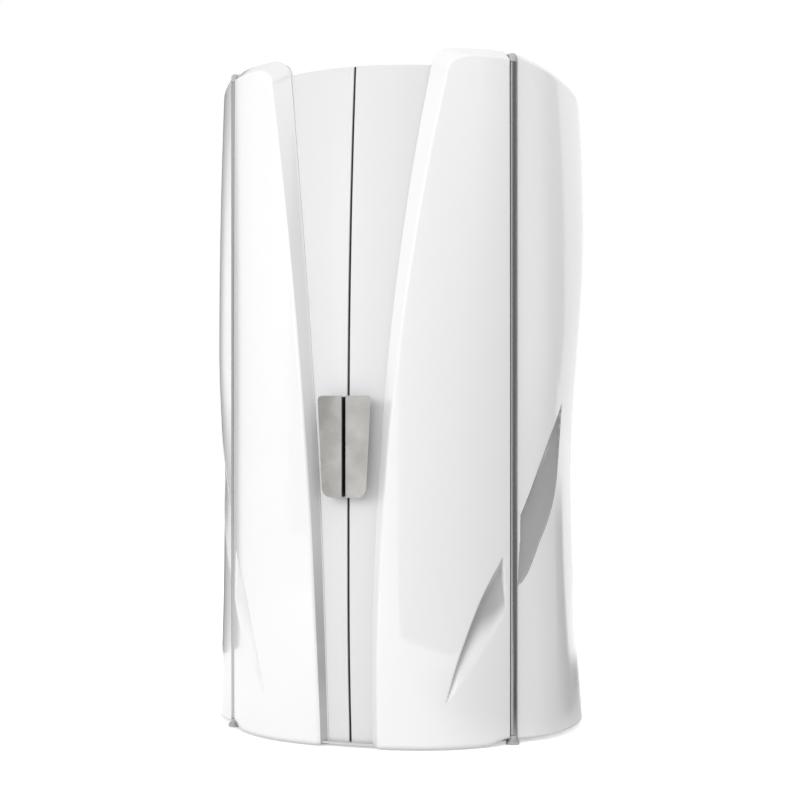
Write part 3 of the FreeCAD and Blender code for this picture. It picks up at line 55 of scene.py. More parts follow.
# ---- The whole part, read from the frame or set beside its own shape ----
PANEL_LOW, PANEL_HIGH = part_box("door_panel_right")
POST_LOW, POST_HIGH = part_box("hinge_post_right")
HANDLE_LOW, HANDLE_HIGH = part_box("door_handle_right")
SIDE_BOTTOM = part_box("side_shell_right")[0].z
TOTAL_HEIGHT = 2330 * MM
PANEL_RADIUS = -PANEL_LOW.y
PANEL_TOP = PANEL_HIGH.z
DOOR_BOTTOM = PANEL_LOW.z
HINGE_X = (POST_LOW.x + POST_HIGH.x) / 2
HINGE_Y = (POST_LOW.y + POST_HIGH.y) / 2
HINGE_RADIUS = math.hypot(HINGE_X, HINGE_Y)
WALL = 4 * MM
SEAT_GAP = 0.3 * MM

# ---- Centre panels ----
PANEL_FLAT = (550 * MM, 1000 * MM)      # straight between these heights
PANEL_BOW = (6.25, 11.6)                # bow below and above them
PANEL_BEARINGS = (0.36, 36.5)
PANEL_ROWS = 120
PANEL_COLUMNS = 70
PANEL_INNER = 570 * MM                  # the flange beside the seam reaches in to this radius
PANEL_FLANGE = 12 * MM                  # and is at least this deep
PANEL_SOFT = 2.5 * MM
PANEL_SOFT_SHARE = 0.4                  # rounding takes at most this share of the flange
PANEL_BESIDE = 1.0                      # the rounding leaves towards a point this far along
PANEL_FIRST_STEP = 0.6
PANEL_LIP = 14 * MM                     # the top edge turns in this far, over the gap to the roof
PANEL_LIP_BACK = 1 * MM
PANEL_LIP_ROUND = 2 * MM
PANEL_LIP_TURNS = (0.6, 1.1, math.pi / 2)

# ---- Wings ----
WING_END = 49.18
WING_SHAPE_BEARINGS = (0.0, 15.0, 30.0, 42.0, 52.0)
WING_STAND = (30.0, 27.0, 23.0, 15.0, 6.0)
WING_DROP_LOW = (42.0, 26.0, 9.0, 2.0, 0.0)
WING_DROP_HIGH = (72.0, 62.0, 46.0, 15.0, 0.0)
WING_FLAT = (600 * MM, 1000 * MM)
WING_CORNER = 62 * MM
WING_CORNER_STRETCH = 1.15
WING_FOOT_X = 78 * MM
WING_FOOT_CURVE = 0.0335
WING_FOOT_STAND = 5 * MM
WING_EDGE_X = 106 * MM
WING_EDGE_CURVE = 0.0418
WING_TOP_BEVEL = 34 * MM
WING_BOX_RADIUS = HINGE_RADIUS - 94 * MM
WING_BACK_RADIUS = HINGE_RADIUS - 48 * MM
WING_BACK_INSET = 0.01 * MM
WING_TUCK = 2 * MM                      # the wall ends this far behind the panel's face
WING_HINGE_SOFT = 5 * MM
WING_EDGE_SOFT = 10 * MM
WING_EDGE_SHARE = 0.3                   # rounding takes at most this share of a narrow face
WING_FOOT_SOFT = 2.5 * MM
WING_EDGE_POINTS = 7
WING_COLUMNS = 132
WING_EASE = 0.35                        # how much closer the columns stand at both ends
WING_STEP = 12 * MM
WING_FINE_STEP = 2.5 * MM
WING_FINE_HEIGHTS = (130 * MM, 660 * MM)
WING_TURNS = 20
WING_TOP_STEPS = 40
WING_GUESSES = 8
SKIRT_BOTTOM = 5 * MM                   # lower edge of the leaves
SKIRT_BEARINGS = (41.0, 48.0)           # it rises between these to clear the pivot foot
SKIRT_HEIGHT = 60 * MM

# ---- Side shells ----
SIDE_BEARINGS = (52.0, 150.6)
SIDE_SHAPE_BEARINGS = (52.0, 64.0, 82.0, 100.0, 125.0, 151.0)
SIDE_FOOT = (6.0, 30.0, 18.0, 0.0, -6.0, -4.0)
SIDE_WAIST = (6.0, 13.0, -14.0, -40.0, -29.0, -16.0)
SIDE_BULGE = (6.0, 32.0, 22.0, 5.0, 1.0, 1.0)
SIDE_HEAD = (6.0, 12.0, -4.0, -18.0, -16.0, -12.0)
SIDE_WAIST_Z = (780.0, 780.0, 900.0, 1000.0, 1000.0, 1000.0)
SIDE_BULGE_Z = (1330.0, 1340.0, 1600.0, 1780.0, 1740.0, 1700.0)
SIDE_TOP_BEARINGS = (52.0, 62.0, 76.0, 100.0, 151.0)
SIDE_TOP_DROP = (4.0, 31.0, 60.0, 80.0, 85.0)
SIDE_SHOULDER = 26 * MM
SIDE_SHOULDER_STEPS = 8
SIDE_INNER = 589 * MM
SIDE_EDGE_SOFT = 4 * MM
SIDE_EDGE_STEP = 0.5
SIDE_ROWS = 300
SIDE_FINE_COLUMNS = (98.5, 190)         # last bearing and number of the close columns
SIDE_WIDE_COLUMNS = (99.2, 70)          # first bearing and number of the wide ones
JAMB_RADIUS = 564.3 * MM

# ---- The carved groove that runs from the wings into the side shells ----
SWOOSH_TOP_BEARINGS = (28.6, 32.9, 39.5, 46.7, 52.0, 56.6, 60.3, 64.7, 70.4)
SWOOSH_TOP = (158.0, 322.0, 505.0, 638.0, 742.0, 844.0, 937.0, 1040.0, 1146.0)
SWOOSH_LOW_BEARINGS = (28.6, 32.9, 39.5, 47.7, 52.0, 55.7, 60.0, 65.0, 68.6, 70.4)
SWOOSH_LOW = (150.0, 218.0, 318.0, 448.0, 524.0, 576.0, 670.0, 770.0, 880.0, 1130.0)
SWOOSH_SPLIT = 50.5                     # the hinge post stands here
SWOOSH_MIDDLE = 49.0
SWOOSH_NOSE = (46.3, 1.3)               # end on the wing, and how much further it is at the foot
SWOOSH_HINGE = (53.0, 1.6)              # start on the shell, and how much nearer at the foot
SWOOSH_END_RAMP = 0.35
SWOOSH_DEPTH = 16 * MM
SWOOSH_VALLEY = 0.24
SWOOSH_SLOPE = 0.24
BEAD_WIDTH = 3.6 * MM
BEAD_HEIGHT = 1.6 * MM
BEAD_SUNK = 0.4 * MM
BEAD_POINTS = 120
BEAD_ENDS = (0.3, 0.05)                 # starts before the groove's start, stops before its end
BEAD_TAPER = 4                          # steps over which a bead's ends narrow
BEAD_ARC = 6

# ---- Silver lacquer and painted shade ----
SWOOSH_FADE = 5 * MM
# On a wing the silver lacquer carries painted shade: darkest at the groove's upper edge, fading out
# downwards between these shares of its height
WING_FADE_BEARINGS = (29.0, 32.0, 38.0, 43.0, 47.5)
WING_FADE_START = (0.4, 0.35, 0.22, 0.06, 0.0)
WING_FADE_END = (1.0, 0.95, 0.75, 0.45, 0.25)
WING_FADE_TONE = (0.9, 1.0, 1.0, 0.92, 0.7)
# Painted shade on the wings' bevels, darker towards the floor and much stronger on the left, and on
# the wall above the panel
FLANK_STRIP = (6, 7)                    # places in a wing's row of the bevel's foot and face edge
FLANK_HEIGHTS = (0.15, 0.45, 0.75, 1.0, 1.3, 1.7, 2.3)
FLANK_SHADE_TONES = (1.0, 0.86, 0.58, 0.42, 0.38, 0.42, 0.2)
WALL_STRIP = (1, 2)                     # places of the wall behind the foot, seen above the panel
WALL_SHADE_TONE = 0.6
GROOVE_SILVER_AND_SHADE_SHARE = {True: 0.92, False: 0.18}    # silver lacquer and painted shade, strong in the right groove and faint in the left
FLANK_SHADE_SHARE = {True: 0.12, False: 1.0}      # painted shade on the right and on the left bevel
# Grey of the silver lacquer and of the painted shade
SILVER_AND_SHADE_GREY = (0.34, 0.335, 0.34, 1.0)

# ---- Hinge posts and handles ----
POST_RADIUS = (POST_HIGH.x - POST_LOW.x) / 2
POST_PIN = 7 * MM
POST_SHOULDER = 30.3 * MM
POST_TOP = 2290 * MM
POST_SOFT = 1.5 * MM
POST_ROWS = 12
PLATE_X = (5 * MM, 76 * MM, 93 * MM)    # inner edge, and outer edge below and above
PLATE_RADIUS = 690 * MM
PLATE_CORNERS = (5 * MM, 30 * MM, 14 * MM, 5 * MM)
PLATE_THICKNESS = 6 * MM
PLATE_EDGE = 4 * MM                     # rounding of the edge at the seam
PLATE_EDGE_STEPS = 5
PLATE_ROWS = 90
PLATE_COLUMNS = 22
FLANGE_X = (5.6 * MM, 14 * MM)
FLANGE_SHORT = 2.5 * MM                 # the flange stops this far from the plate's ends
FLANGE_FRONT = 4.5 * MM                 # behind the plate's face
FLANGE_BACK = 1.2 * MM                  # into the panel's face

# ---- Materials ----
NOISE_RANGE = (0.3, 0.7)
COAT_ROUGHNESS = 0.05
PATCH_SCALE = 1.3
GLOSS_SCALE = 4.0
GLOSS_CHANGE = 0.07
LAMP_ENDS = (0.022, 0.978)              # the tubes' metal caps end at these shares of the height
LAMP_GLOW = 0.55

# ---- Studio ----
FILL_BEARING = 12.0                     # the room is brightest towards this bearing
FILL_AHEAD = 1.06
FILL_BEHIND = 0.38
FLOOR_GLOW = 0.5
FLOOR_HALF = 40.0
FLOOR_TONE = 0.8
AIM_HEIGHT = 1.1
CARD_HEIGHT = 2 * MM
# name, bearing, distance, height, size, power, height that it is aimed at
LIGHTS = (
    ("key", -22.0, 4.8, 2.4, (1.6, 2.4), 70.0, AIM_HEIGHT),
    ("side", 60.0, 3.0, 3.7, (1.0, 1.0), 15.0, 2.3),
    ("rear", 186.0, 4.8, 2.2, (2.0, 2.4), 62.0, AIM_HEIGHT),
)
# name, bearing, distance, lower and upper end, width, shade, softness of the edges
CARDS = (
    ("card_right_low", 101.0, 0.92, -0.1, 0.95, 0.42, 0.0, 0.27),
    ("card_right_high", 114.0, 2.2, 1.2, 3.2, 0.6, 0.3, 0.35),
    ("card_post_0", 32.0, 2.4, 0.0, 3.4, 1.45, 0.26, 0.0),
    ("card_post_1", 66.0, 2.4, 0.0, 3.4, 1.45, 0.26, 0.0),
    ("card_post_2", 100.0, 2.4, 0.0, 3.4, 1.45, 0.26, 0.0),
    ("card_left", -129.5, 2.0, 0.0, 3.6, 2.75, 0.12, 0.2),
    ("card_ahead", -38.0, 3.5, 0.5, 2.2, 1.8, 0.6, 0.0),
)
FLOOR_CARD = ((0.3, -1.9), (3.4, 2.2), 0.15, 0.25)   # two corners, shade, softness

CAMERA_DISTANCE = 5.56
CAMERA_BEARING = 17.2
CAMERA_HEIGHT = 1.056
CAMERA_LENS = 67.185
CAMERA_SENSOR = 36.0
CAMERA_SHIFT = 0.0368
CAMERA_SIDE = 0.0184


# ======================= curves and meshes =======================
def place(bearing, radius, z):
    """A point by bearing, radius and height."""
    a = math.radians(bearing)
    return Vector((radius * math.sin(a), -radius * math.cos(a), z))


def at_x(x, radius, z):
    """Point in front of the axis at x on a radius."""
    return Vector((x, -math.sqrt(max(radius ** 2 - x ** 2, 0.0)), z))


def bearing_of(x, y):
    """Bearing of a point, counted the same way on both sides."""
    return math.degrees(math.atan2(abs(x), -y))


def clamp(value):
    return min(max(value, 0.0), 1.0)


def smooth(places, values, x):
    """Monotone cubic curve through the values at their places, held level past the ends."""
    points = list(zip(places, values))
    if x <= points[0][0]:
        return points[0][1]
    if x >= points[-1][0]:
        return points[-1][1]
    slopes = [(q[1] - p[1]) / (q[0] - p[0]) for p, q in zip(points, points[1:])]
    tangents = [slopes[0]]
    for a, b in zip(slopes, slopes[1:]):
        tangents.append(0.0 if a * b <= 0 else 2.0 * a * b / (a + b))
    tangents.append(slopes[-1])
    for i, (p, q) in enumerate(zip(points, points[1:])):
        if x <= q[0]:
            h = q[0] - p[0]
            t = (x - p[0]) / h
            rise = q[1] - p[1]
            start = tangents[i] * h
            end = tangents[i + 1] * h
            return (p[1] + t * start + t * t * (3 * rise - 2 * start - end)
                    + t * t * t * (start + end - 2 * rise))
    return points[-1][1]


def spread(first, last, count):
    return [first + (last - first) * i / (count - 1) for i in range(count)]


def corner(before, tip, after, reach, count=5):
    """Points of a rounded corner at tip, starting and ending reach away from it."""
    a = tip + (before - tip).normalized() * min(reach, (before - tip).length * 0.49)
    b = tip + (after - tip).normalized() * min(reach, (after - tip).length * 0.49)
    points = []
    for i in range(count):
        t = i / (count - 1)
        points.append(a * (1 - t) ** 2 + tip * 2 * t * (1 - t) + b * t * t)
    return points


def new_object(name, points, faces):
    mesh = bpy.data.meshes.new(name)
    mesh.from_pydata([tuple(p) for p in points], [], faces)
    mesh.validate()
    mesh.polygons.foreach_set("use_smooth", [True] * len(mesh.polygons))
    obj = bpy.data.objects.new(name, mesh)
    bpy.context.scene.collection.objects.link(obj)
    return obj


def grid_mesh(name, rows, extra_faces=()):
    """Smooth mesh through equally long rows of points."""
    width = len(rows[0])
    points = [p for row in rows for p in row]
    faces = []
    for i in range(len(rows) - 1):
        for j in range(width - 1):
            a = i * width + j
            faces.append((a, a + 1, a + width + 1, a + width))
    faces.extend(extra_faces)
    return new_object(name, points, faces)


def box_piece(name, low, high):
    points = [Vector((x, y, z)) for z in (low[2], high[2]) for y in (low[1], high[1])
              for x in (low[0], high[0])]
    faces = [(0, 2, 3, 1), (4, 5, 7, 6), (0, 1, 5, 4), (2, 6, 7, 3), (0, 4, 6, 2), (1, 3, 7, 5)]
    return new_object(name, points, faces)


def lathe(name, profile, centre, segments=64):
    """Solid of revolution of (radius, z) points about an upright line through centre."""
    rows = []
    for r, z in profile:
        row = []
        for i in range(segments + 1):
            a = 2 * math.pi * i / segments
            row.append(Vector((centre[0] + r * math.cos(a), centre[1] + r * math.sin(a), z)))
        rows.append(row)
    return grid_mesh(name, rows)


def on_side(rows, sign):
    """The rows as they are, or mirrored to the left with their faces still outward."""
    if sign > 0:
        return rows
    return [[Vector((-p.x, p.y, p.z)) for p in reversed(row)] for row in rows]


def thicken(obj, wall=WALL):
    """Give a shell its wall, inwards from the modelled face."""
    shell = obj.modifiers.new("wall", "SOLIDIFY")
    shell.thickness = wall
    shell.offset = -1.0
    shell.use_quality_normals = True
    return obj


def soften(obj, width, angle=35.0, segments=3):
    """Small rounded edges where faces meet at more than the angle."""
    bevel = obj.modifiers.new("edges", "BEVEL")
    bevel.width = width
    bevel.segments = segments
    bevel.limit_method = "ANGLE"
    bevel.angle_limit = math.radians(angle)
    bevel.harden_normals = True
    return obj


def finish_piece(obj, material, slot, body, *nodes):
    """Material, body and the CAD nodes that the piece stands for; the slot argument is not used."""
    obj.data.materials.clear()
    obj.data.materials.append(material)
    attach(obj, body)
    if nodes:
        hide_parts(*nodes)
    return obj


# ======================= outer shape =======================
def panel_radius(z):
    """Outside radius of the bowed centre panel at a height."""
    low, high = PANEL_FLAT
    if z < low:
        return PANEL_RADIUS - (low - z) ** 2 / (2 * PANEL_BOW[0])
    if z > high:
        return PANEL_RADIUS - (z - high) ** 2 / (2 * PANEL_BOW[1])
    return PANEL_RADIUS


def wing_radius(bearing, z):
    """Outside radius of the wing's face."""
    radius = HINGE_RADIUS + smooth(WING_SHAPE_BEARINGS, WING_STAND, bearing) * MM
    low, high = WING_FLAT
    if z < low:
        share = (low - z) / low
        return radius - smooth(WING_SHAPE_BEARINGS, WING_DROP_LOW, bearing) * MM * share ** 2
    if z > high:
        share = (z - high) / (TOTAL_HEIGHT - high)
        return radius - smooth(WING_SHAPE_BEARINGS, WING_DROP_HIGH, bearing) * MM * share ** 2
    return radius


def side_radius(bearing, z):
    """Outside radius of the side shell."""
    def at(values):
        return smooth(SIDE_SHAPE_BEARINGS, values, bearing) * MM
    levels = ((0.0, at(SIDE_FOOT)), (at(SIDE_WAIST_Z), at(SIDE_WAIST)),
              (at(SIDE_BULGE_Z), at(SIDE_BULGE)), (TOTAL_HEIGHT, at(SIDE_HEAD)))
    return HINGE_RADIUS + ease(levels, z)


def ease(levels, z):
    """Join levels with smooth steps."""
    for (z0, r0), (z1, r1) in zip(levels, levels[1:]):
        if z <= z1:
            t = max((z - z0) / (z1 - z0), 0.0)
            if z0 == 0.0:
                t = math.sin(t * math.pi / 2)
            elif z1 == TOTAL_HEIGHT:
                t = t * t
            else:
                t = t * t * (3 - 2 * t)
            return r0 + (r1 - r0) * t
    return levels[-1][1]


def side_top(bearing):
    return TOTAL_HEIGHT - smooth(SIDE_TOP_BEARINGS, SIDE_TOP_DROP, bearing) * MM


def swoosh_ends(bearing):
    """Upper and lower edge of the groove at a bearing."""
    top = smooth(SWOOSH_TOP_BEARINGS, SWOOSH_TOP, bearing) * MM
    low = smooth(SWOOSH_LOW_BEARINGS, SWOOSH_LOW, bearing) * MM
    return top, low


def swoosh_reach(bearing, z):
    """One inside the groove, none beyond its slanted ends on both sides of the hinge."""
    if bearing < SWOOSH_TOP_BEARINGS[0] or bearing > SWOOSH_TOP_BEARINGS[-1]:
        return 0.0
    top, low = swoosh_ends(SWOOSH_MIDDLE)
    fall = clamp((top - z) / (top - low))
    if bearing < SWOOSH_SPLIT:
        return clamp((SWOOSH_NOSE[0] + SWOOSH_NOSE[1] * fall - bearing) / SWOOSH_END_RAMP)
    return clamp((bearing - SWOOSH_HINGE[0] + SWOOSH_HINGE[1] * fall) / SWOOSH_END_RAMP)


def swoosh_depth(bearing, z):
    """How deep the carved groove is at a point of the face."""
    top, low = swoosh_ends(bearing)
    if not low < z < top:
        return 0.0
    width = top - low
    depth = min(SWOOSH_DEPTH, SWOOSH_SLOPE * width) * swoosh_reach(bearing, z)
    valley = top - SWOOSH_VALLEY * width
    if z > valley:
        return depth * (top - z) / (top - valley)
    return depth * (z - low) / (valley - low)


# ======================= silver lacquer and painted shade =====
def mark_silver_and_shade(obj, width=0):
    """Point attribute for silver lacquer and painted shade: the groove, and painted shade on the bevel
    of a wing whose rows have a width.
    """
    attribute = obj.data.attributes.new("lacquer_and_shade", "FLOAT", "POINT")
    values = []
    for i, vertex in enumerate(obj.data.vertices):
        x, y, z = vertex.co
        tone = swoosh_silver_and_shade(bearing_of(x, y), math.hypot(x, y), z) * GROOVE_SILVER_AND_SHADE_SHARE[x > 0]
        if width:
            column = i % width if x > 0 else width - 1 - i % width
            tone = max(tone, flank_shade(column, x > 0, z))
        values.append(tone)
    attribute.data.foreach_set("value", values)


def flank_shade(column, right, z):
    """Painted shade on the bevel, darker towards the floor, and on the wall above the panel."""
    if column in WALL_STRIP and z > PANEL_TOP:
        return WALL_SHADE_TONE
    if column not in FLANK_STRIP:
        return 0.0
    return smooth(FLANK_HEIGHTS, FLANK_SHADE_TONES, z) * FLANK_SHADE_SHARE[right]


def swoosh_silver_and_shade(bearing, radius, z):
    """Silver lacquer in the groove, even on the side shell; on the wing it carries painted shade,
    darkest at the upper edge and fading out downwards.
    """
    if radius < SIDE_INNER + WING_HINGE_SOFT:
        return 0.0
    top, low = swoosh_ends(bearing)
    if not low < z < top:
        return 0.0
    edge = min((top - z) / SWOOSH_FADE, 1.0) * swoosh_reach(bearing, z)
    if bearing > SWOOSH_SPLIT:
        return edge * min((z - low) / SWOOSH_FADE, 1.0)
    share = (z - low) / (top - low)
    start = smooth(WING_FADE_BEARINGS, WING_FADE_START, bearing)
    end = smooth(WING_FADE_BEARINGS, WING_FADE_END, bearing)
    t = clamp((share - start) / (end - start))
    return edge * t * t * (3 - 2 * t) * smooth(WING_FADE_BEARINGS, WING_FADE_TONE, bearing)


# ======================= wings =======================
def wing_heights(low, high):
    """Heights from low to high, closer together where the groove is."""
    heights = [low]
    while heights[-1] < high - WING_FINE_STEP:
        here = heights[-1]
        fine = WING_FINE_HEIGHTS[0] <= here <= WING_FINE_HEIGHTS[1]
        heights.append(min(here + (WING_FINE_STEP if fine else WING_STEP), high))
    heights[-1] = high
    return heights


def wing_loop():
    """(foot x, foot z, edge x, edge z) up the inner edge, round the corner and over the top."""
    loop = []
    corner_foot = TOTAL_HEIGHT - WING_CORNER
    corner_edge = TOTAL_HEIGHT - WING_TOP_BEVEL - WING_CORNER
    for z in wing_heights(DOOR_BOTTOM, corner_foot):
        share = (z - DOOR_BOTTOM) / (corner_foot - DOOR_BOTTOM)
        edge_z = DOOR_BOTTOM + share * (corner_edge - DOOR_BOTTOM)
        loop.append((WING_FOOT_X + WING_FOOT_CURVE * z * z, z,
                     WING_EDGE_X + WING_EDGE_CURVE * edge_z * edge_z, edge_z))
    first_corner = len(loop)
    foot_x, edge_x = loop[-1][0], loop[-1][2]
    for i in range(1, WING_TURNS + 1):
        a = math.radians(90 * i / WING_TURNS)
        across = WING_CORNER * WING_CORNER_STRETCH * (1 - math.cos(a))
        up = WING_CORNER * math.sin(a)
        loop.append((foot_x + across, corner_foot + up, edge_x + across, corner_edge + up))
    last_corner = len(loop)
    foot_x, foot_z, edge_x, edge_z = loop[-1]
    end_edge = place(WING_END, wing_radius(WING_END, edge_z), 0).x
    end_foot = place(WING_END, wing_radius(WING_END, TOTAL_HEIGHT) - WING_TOP_BEVEL, 0).x
    for i in range(1, WING_TOP_STEPS + 1):
        s = i / WING_TOP_STEPS
        loop.append((foot_x + (end_foot - foot_x) * s, foot_z,
                     edge_x + (end_edge - edge_x) * s, edge_z))
    return loop, first_corner, last_corner


def bearing_on_wing(x, z):
    """Bearing at which the wing's face shows x in front elevation, found by repeated guesses."""
    radius = HINGE_RADIUS
    bearing = 0.0
    for _ in range(WING_GUESSES):
        bearing = math.degrees(math.asin(min(x / radius, 0.99)))
        radius = wing_radius(bearing, z)
    return bearing


def wing_face(hinge_z, edge_x, edge_z):
    """Points across the face, from the hinge side to the inner edge."""
    edge_bearing = min(bearing_on_wing(edge_x, edge_z), WING_END)
    face = []
    for j in range(WING_COLUMNS + 1):
        eased = (1 - math.cos(math.pi * j / WING_COLUMNS)) / 2
        s = eased * WING_EASE + j / WING_COLUMNS * (1 - WING_EASE)
        b = WING_END + (edge_bearing - WING_END) * s
        z = hinge_z + (edge_z - hinge_z) * s
        face.append(place(b, wing_radius(b, z) - swoosh_depth(b, z), z))
    return face


def wing_foot(x, z, over):
    """Foot of the bevel: on the panel, or under the face as over grows to one past the corner."""
    beside = panel_radius(min(z, PANEL_TOP)) + WING_FOOT_STAND
    on_face = wing_radius(min(bearing_on_wing(x, z), WING_END), z)
    return at_x(x, beside + (max(beside, on_face - WING_TOP_BEVEL) - beside) * over, z)


def wing_row(face, foot_x, foot_z, over, hinge_z):
    """One row: hinge wall, face, rounded edge, bevel and the wall behind its foot."""
    foot = wing_foot(foot_x, foot_z, over)
    box_floor = PANEL_TOP + SEAT_GAP
    inner = panel_radius(foot_z) - WING_TUCK if foot_z < box_floor else WING_BOX_RADIUS
    back = at_x(foot_x, inner, foot_z)
    down = Vector((back.x, back.y, min(foot_z, box_floor)))
    hinge_radius = WING_BACK_RADIUS if hinge_z < box_floor else wing_radius(WING_END, hinge_z)
    hinge_back = place(WING_END, hinge_radius - WING_BACK_INSET, hinge_z)
    edge = face[-1]
    soft = min(WING_EDGE_SOFT, (face[0] - edge).length * WING_EDGE_SHARE)
    kept = [p for p in face[1:-1] if (p - edge).length > soft]
    dropped = len(face) - 2 - len(kept)
    near = kept[-1] if kept else face[0]
    row = [hinge_back] + corner(hinge_back, face[0], face[1], WING_HINGE_SOFT)[:-1]
    row += kept
    row += corner(near, edge, foot, soft, WING_EDGE_POINTS + dropped)
    row += corner(edge, foot, back, WING_FOOT_SOFT)
    return row + [back, down]


def wing_rows():
    """All rows of a wing, from the floor up, round the corner and over the top."""
    loop, first_corner, last_corner = wing_loop()
    hinge_start, hinge_top = loop[first_corner - 1][3], loop[-1][3]
    rows = []
    for i, (foot_x, foot_z, edge_x, edge_z) in enumerate(loop):
        hinge_z = edge_z
        over = 0.0
        if i >= first_corner:
            past = i - first_corner + 1
            share = past / (len(loop) - first_corner)
            hinge_z = hinge_start + (hinge_top - hinge_start) * share
            over = min(past / (last_corner - first_corner), 1.0)
        face = wing_face(hinge_z, edge_x, edge_z)
        rows.append(wing_row(face, foot_x, foot_z, over, hinge_z))
    return rows


def skirt(row):
    """Draw the lowest part of a row down to the skirt's edge, clear of the pivot foot."""
    first, last = SKIRT_BEARINGS
    lowered = []
    for p in row:
        share = clamp((last - bearing_of(p.x, p.y)) / (last - first))
        reach = max(1.0 - (p.z - DOOR_BOTTOM) / SKIRT_HEIGHT, 0.0)
        drop = (DOOR_BOTTOM - SKIRT_BOTTOM) * share * share * (3 - 2 * share) * reach
        lowered.append(Vector((p.x, p.y, p.z - drop)))
    return lowered


def build_wings(material):
    rows = [skirt(list(reversed(row))) for row in wing_rows()]
    width = len(rows[0])
    last = (len(rows) - 1) * width
    cap = list(range(last, last + width))
    for side, sign, body in SIDES:
        obj = grid_mesh("wing_" + side, on_side(rows, sign), [cap])
        mark_silver_and_shade(obj, width)
        thicken(obj)
        finish_piece(obj, material, "moulded_white", body, "door_wing_" + side)


# ======================= centre panels =======================
def panel_row(z, radius, inner):
    start, end = PANEL_BEARINGS
    back = place(start, inner, z)
    edge = place(start, radius, z)
    beside = place(start + PANEL_BESIDE, radius, z)
    soft = min(PANEL_SOFT, (radius - inner) * PANEL_SOFT_SHARE)
    row = [back] + corner(back, edge, beside, soft)
    return row + [place(b, radius, z) for b in spread(start + PANEL_FIRST_STEP, end, PANEL_COLUMNS)]


def panel_rows():
    """Rows from the seam flange over the bowed face to the edge under the wing, and the top lip."""
    def inner(radius):
        return min(PANEL_INNER, radius - PANEL_FLANGE)
    rows = []
    for z in spread(DOOR_BOTTOM, PANEL_TOP, PANEL_ROWS)[:-1]:
        rows.append(panel_row(z, panel_radius(z), inner(panel_radius(z))))
    top = panel_radius(PANEL_TOP)
    below = PANEL_TOP - PANEL_LIP_ROUND
    for a in (0.0,) + PANEL_LIP_TURNS:
        radius = top - PANEL_LIP_ROUND * (1 - math.cos(a))
        rows.append(panel_row(below + PANEL_LIP_ROUND * math.sin(a), radius, inner(top)))
    rows.append(panel_row(PANEL_TOP, top - PANEL_LIP, top - PANEL_LIP - PANEL_LIP_BACK))
    return [skirt(row) for row in rows]


def build_panels(material):
    rows = panel_rows()
    for side, sign, body in SIDES:
        obj = thicken(grid_mesh("leaf_panel_" + side, on_side(rows, sign)))
        finish_piece(obj, material, "leaf_panel", body, "door_panel_" + side)


# ======================= side shells =======================
def drawn_in(point, radius):
    """The same bearing and height at another radius, if that is further in."""
    scale = min(radius / math.hypot(point.x, point.y), 1.0)
    return Vector((point.x * scale, point.y * scale, point.z))


def side_row(bearings, share, turn):
    """One row at a share of the height, or over the shoulder as turn grows to a quarter turn."""
    start, end = SIDE_BEARINGS

    def point(b):
        z = SIDE_BOTTOM + (side_top(b) - SIDE_SHOULDER - SIDE_BOTTOM) * share
        r = side_radius(b, z) - swoosh_depth(b, z) - SIDE_SHOULDER * (1 - math.cos(turn))
        return place(b, r, z + SIDE_SHOULDER * math.sin(turn))
    first, last = point(start), point(end)
    front_back = drawn_in(first, JAMB_RADIUS)
    rear_back = drawn_in(last, SIDE_INNER)
    row = [front_back] + corner(front_back, first, point(start + SIDE_EDGE_STEP), SIDE_EDGE_SOFT)
    row += [point(b) for b in bearings]
    return row + corner(point(end - SIDE_EDGE_STEP), last, rear_back, SIDE_EDGE_SOFT) + [rear_back]


def side_rows():
    """Rows up the shell: hinge flange, rounded edge, face and rear flange; shoulder and lip on top."""
    start, end = SIDE_BEARINGS
    bearings = spread(start + SIDE_EDGE_STEP, *SIDE_FINE_COLUMNS)
    bearings += spread(SIDE_WIDE_COLUMNS[0], end - SIDE_EDGE_STEP, SIDE_WIDE_COLUMNS[1])
    rows = [side_row(bearings, share, 0.0) for share in spread(0.0, 1.0, SIDE_ROWS)]
    for i in range(1, SIDE_SHOULDER_STEPS + 1):
        rows.append(side_row(bearings, 1.0, math.radians(90 * i / SIDE_SHOULDER_STEPS)))
    rows.append([drawn_in(p, SIDE_INNER) for p in rows[-1]])
    rows.insert(0, [drawn_in(p, SIDE_INNER) for p in rows[0]])
    return rows


def build_side_shells(material):
    rows = side_rows()
    for side, sign, _ in SIDES:
        obj = grid_mesh("side_" + side, on_side(rows, sign))
        mark_silver_and_shade(obj)
        thicken(obj)
        finish_piece(obj, material, "moulded_white", "cabin", "side_shell_" + side)


def bead_rows(middle):
    """Rows of a low rounded bead along a line of points on the shell, narrowed at its ends."""
    rows = []
    last = len(middle) - 1
    for i, p in enumerate(middle):
        ahead = (middle[min(i + 1, last)] - middle[max(i - 1, 0)]).normalized()
        out = Vector((p.x, p.y, 0.0)).normalized()
        across = ahead.cross(out).normalized()
        ends = min(min(i, last - i) / BEAD_TAPER, 1.0)
        row = []
        for k in range(BEAD_ARC + 1):
            a = math.pi * k / BEAD_ARC
            side = across * (math.cos(a) * BEAD_WIDTH / 2 * ends)
            row.append(p + side + out * (math.sin(a) * BEAD_HEIGHT * ends - BEAD_SUNK))
        rows.append(row)
    return rows


def build_beads(material):
    """Bright beads along both edges of the groove in the side shells."""
    first = SWOOSH_HINGE[0] - BEAD_ENDS[0]
    bearings = spread(first, SWOOSH_TOP_BEARINGS[-1] - BEAD_ENDS[1], BEAD_POINTS)
    for edge, pick in (("upper", 0), ("lower", 1)):
        path = [(b, swoosh_ends(b)[pick]) for b in bearings]
        for side, sign, _ in SIDES:
            middle = [place(sign * b, side_radius(b, z), z) for b, z in path[::sign]]
            obj = grid_mesh("swoosh_bead_" + edge + "_" + side, bead_rows(middle))
            finish_piece(obj, material, "chrome_trim", "cabin")


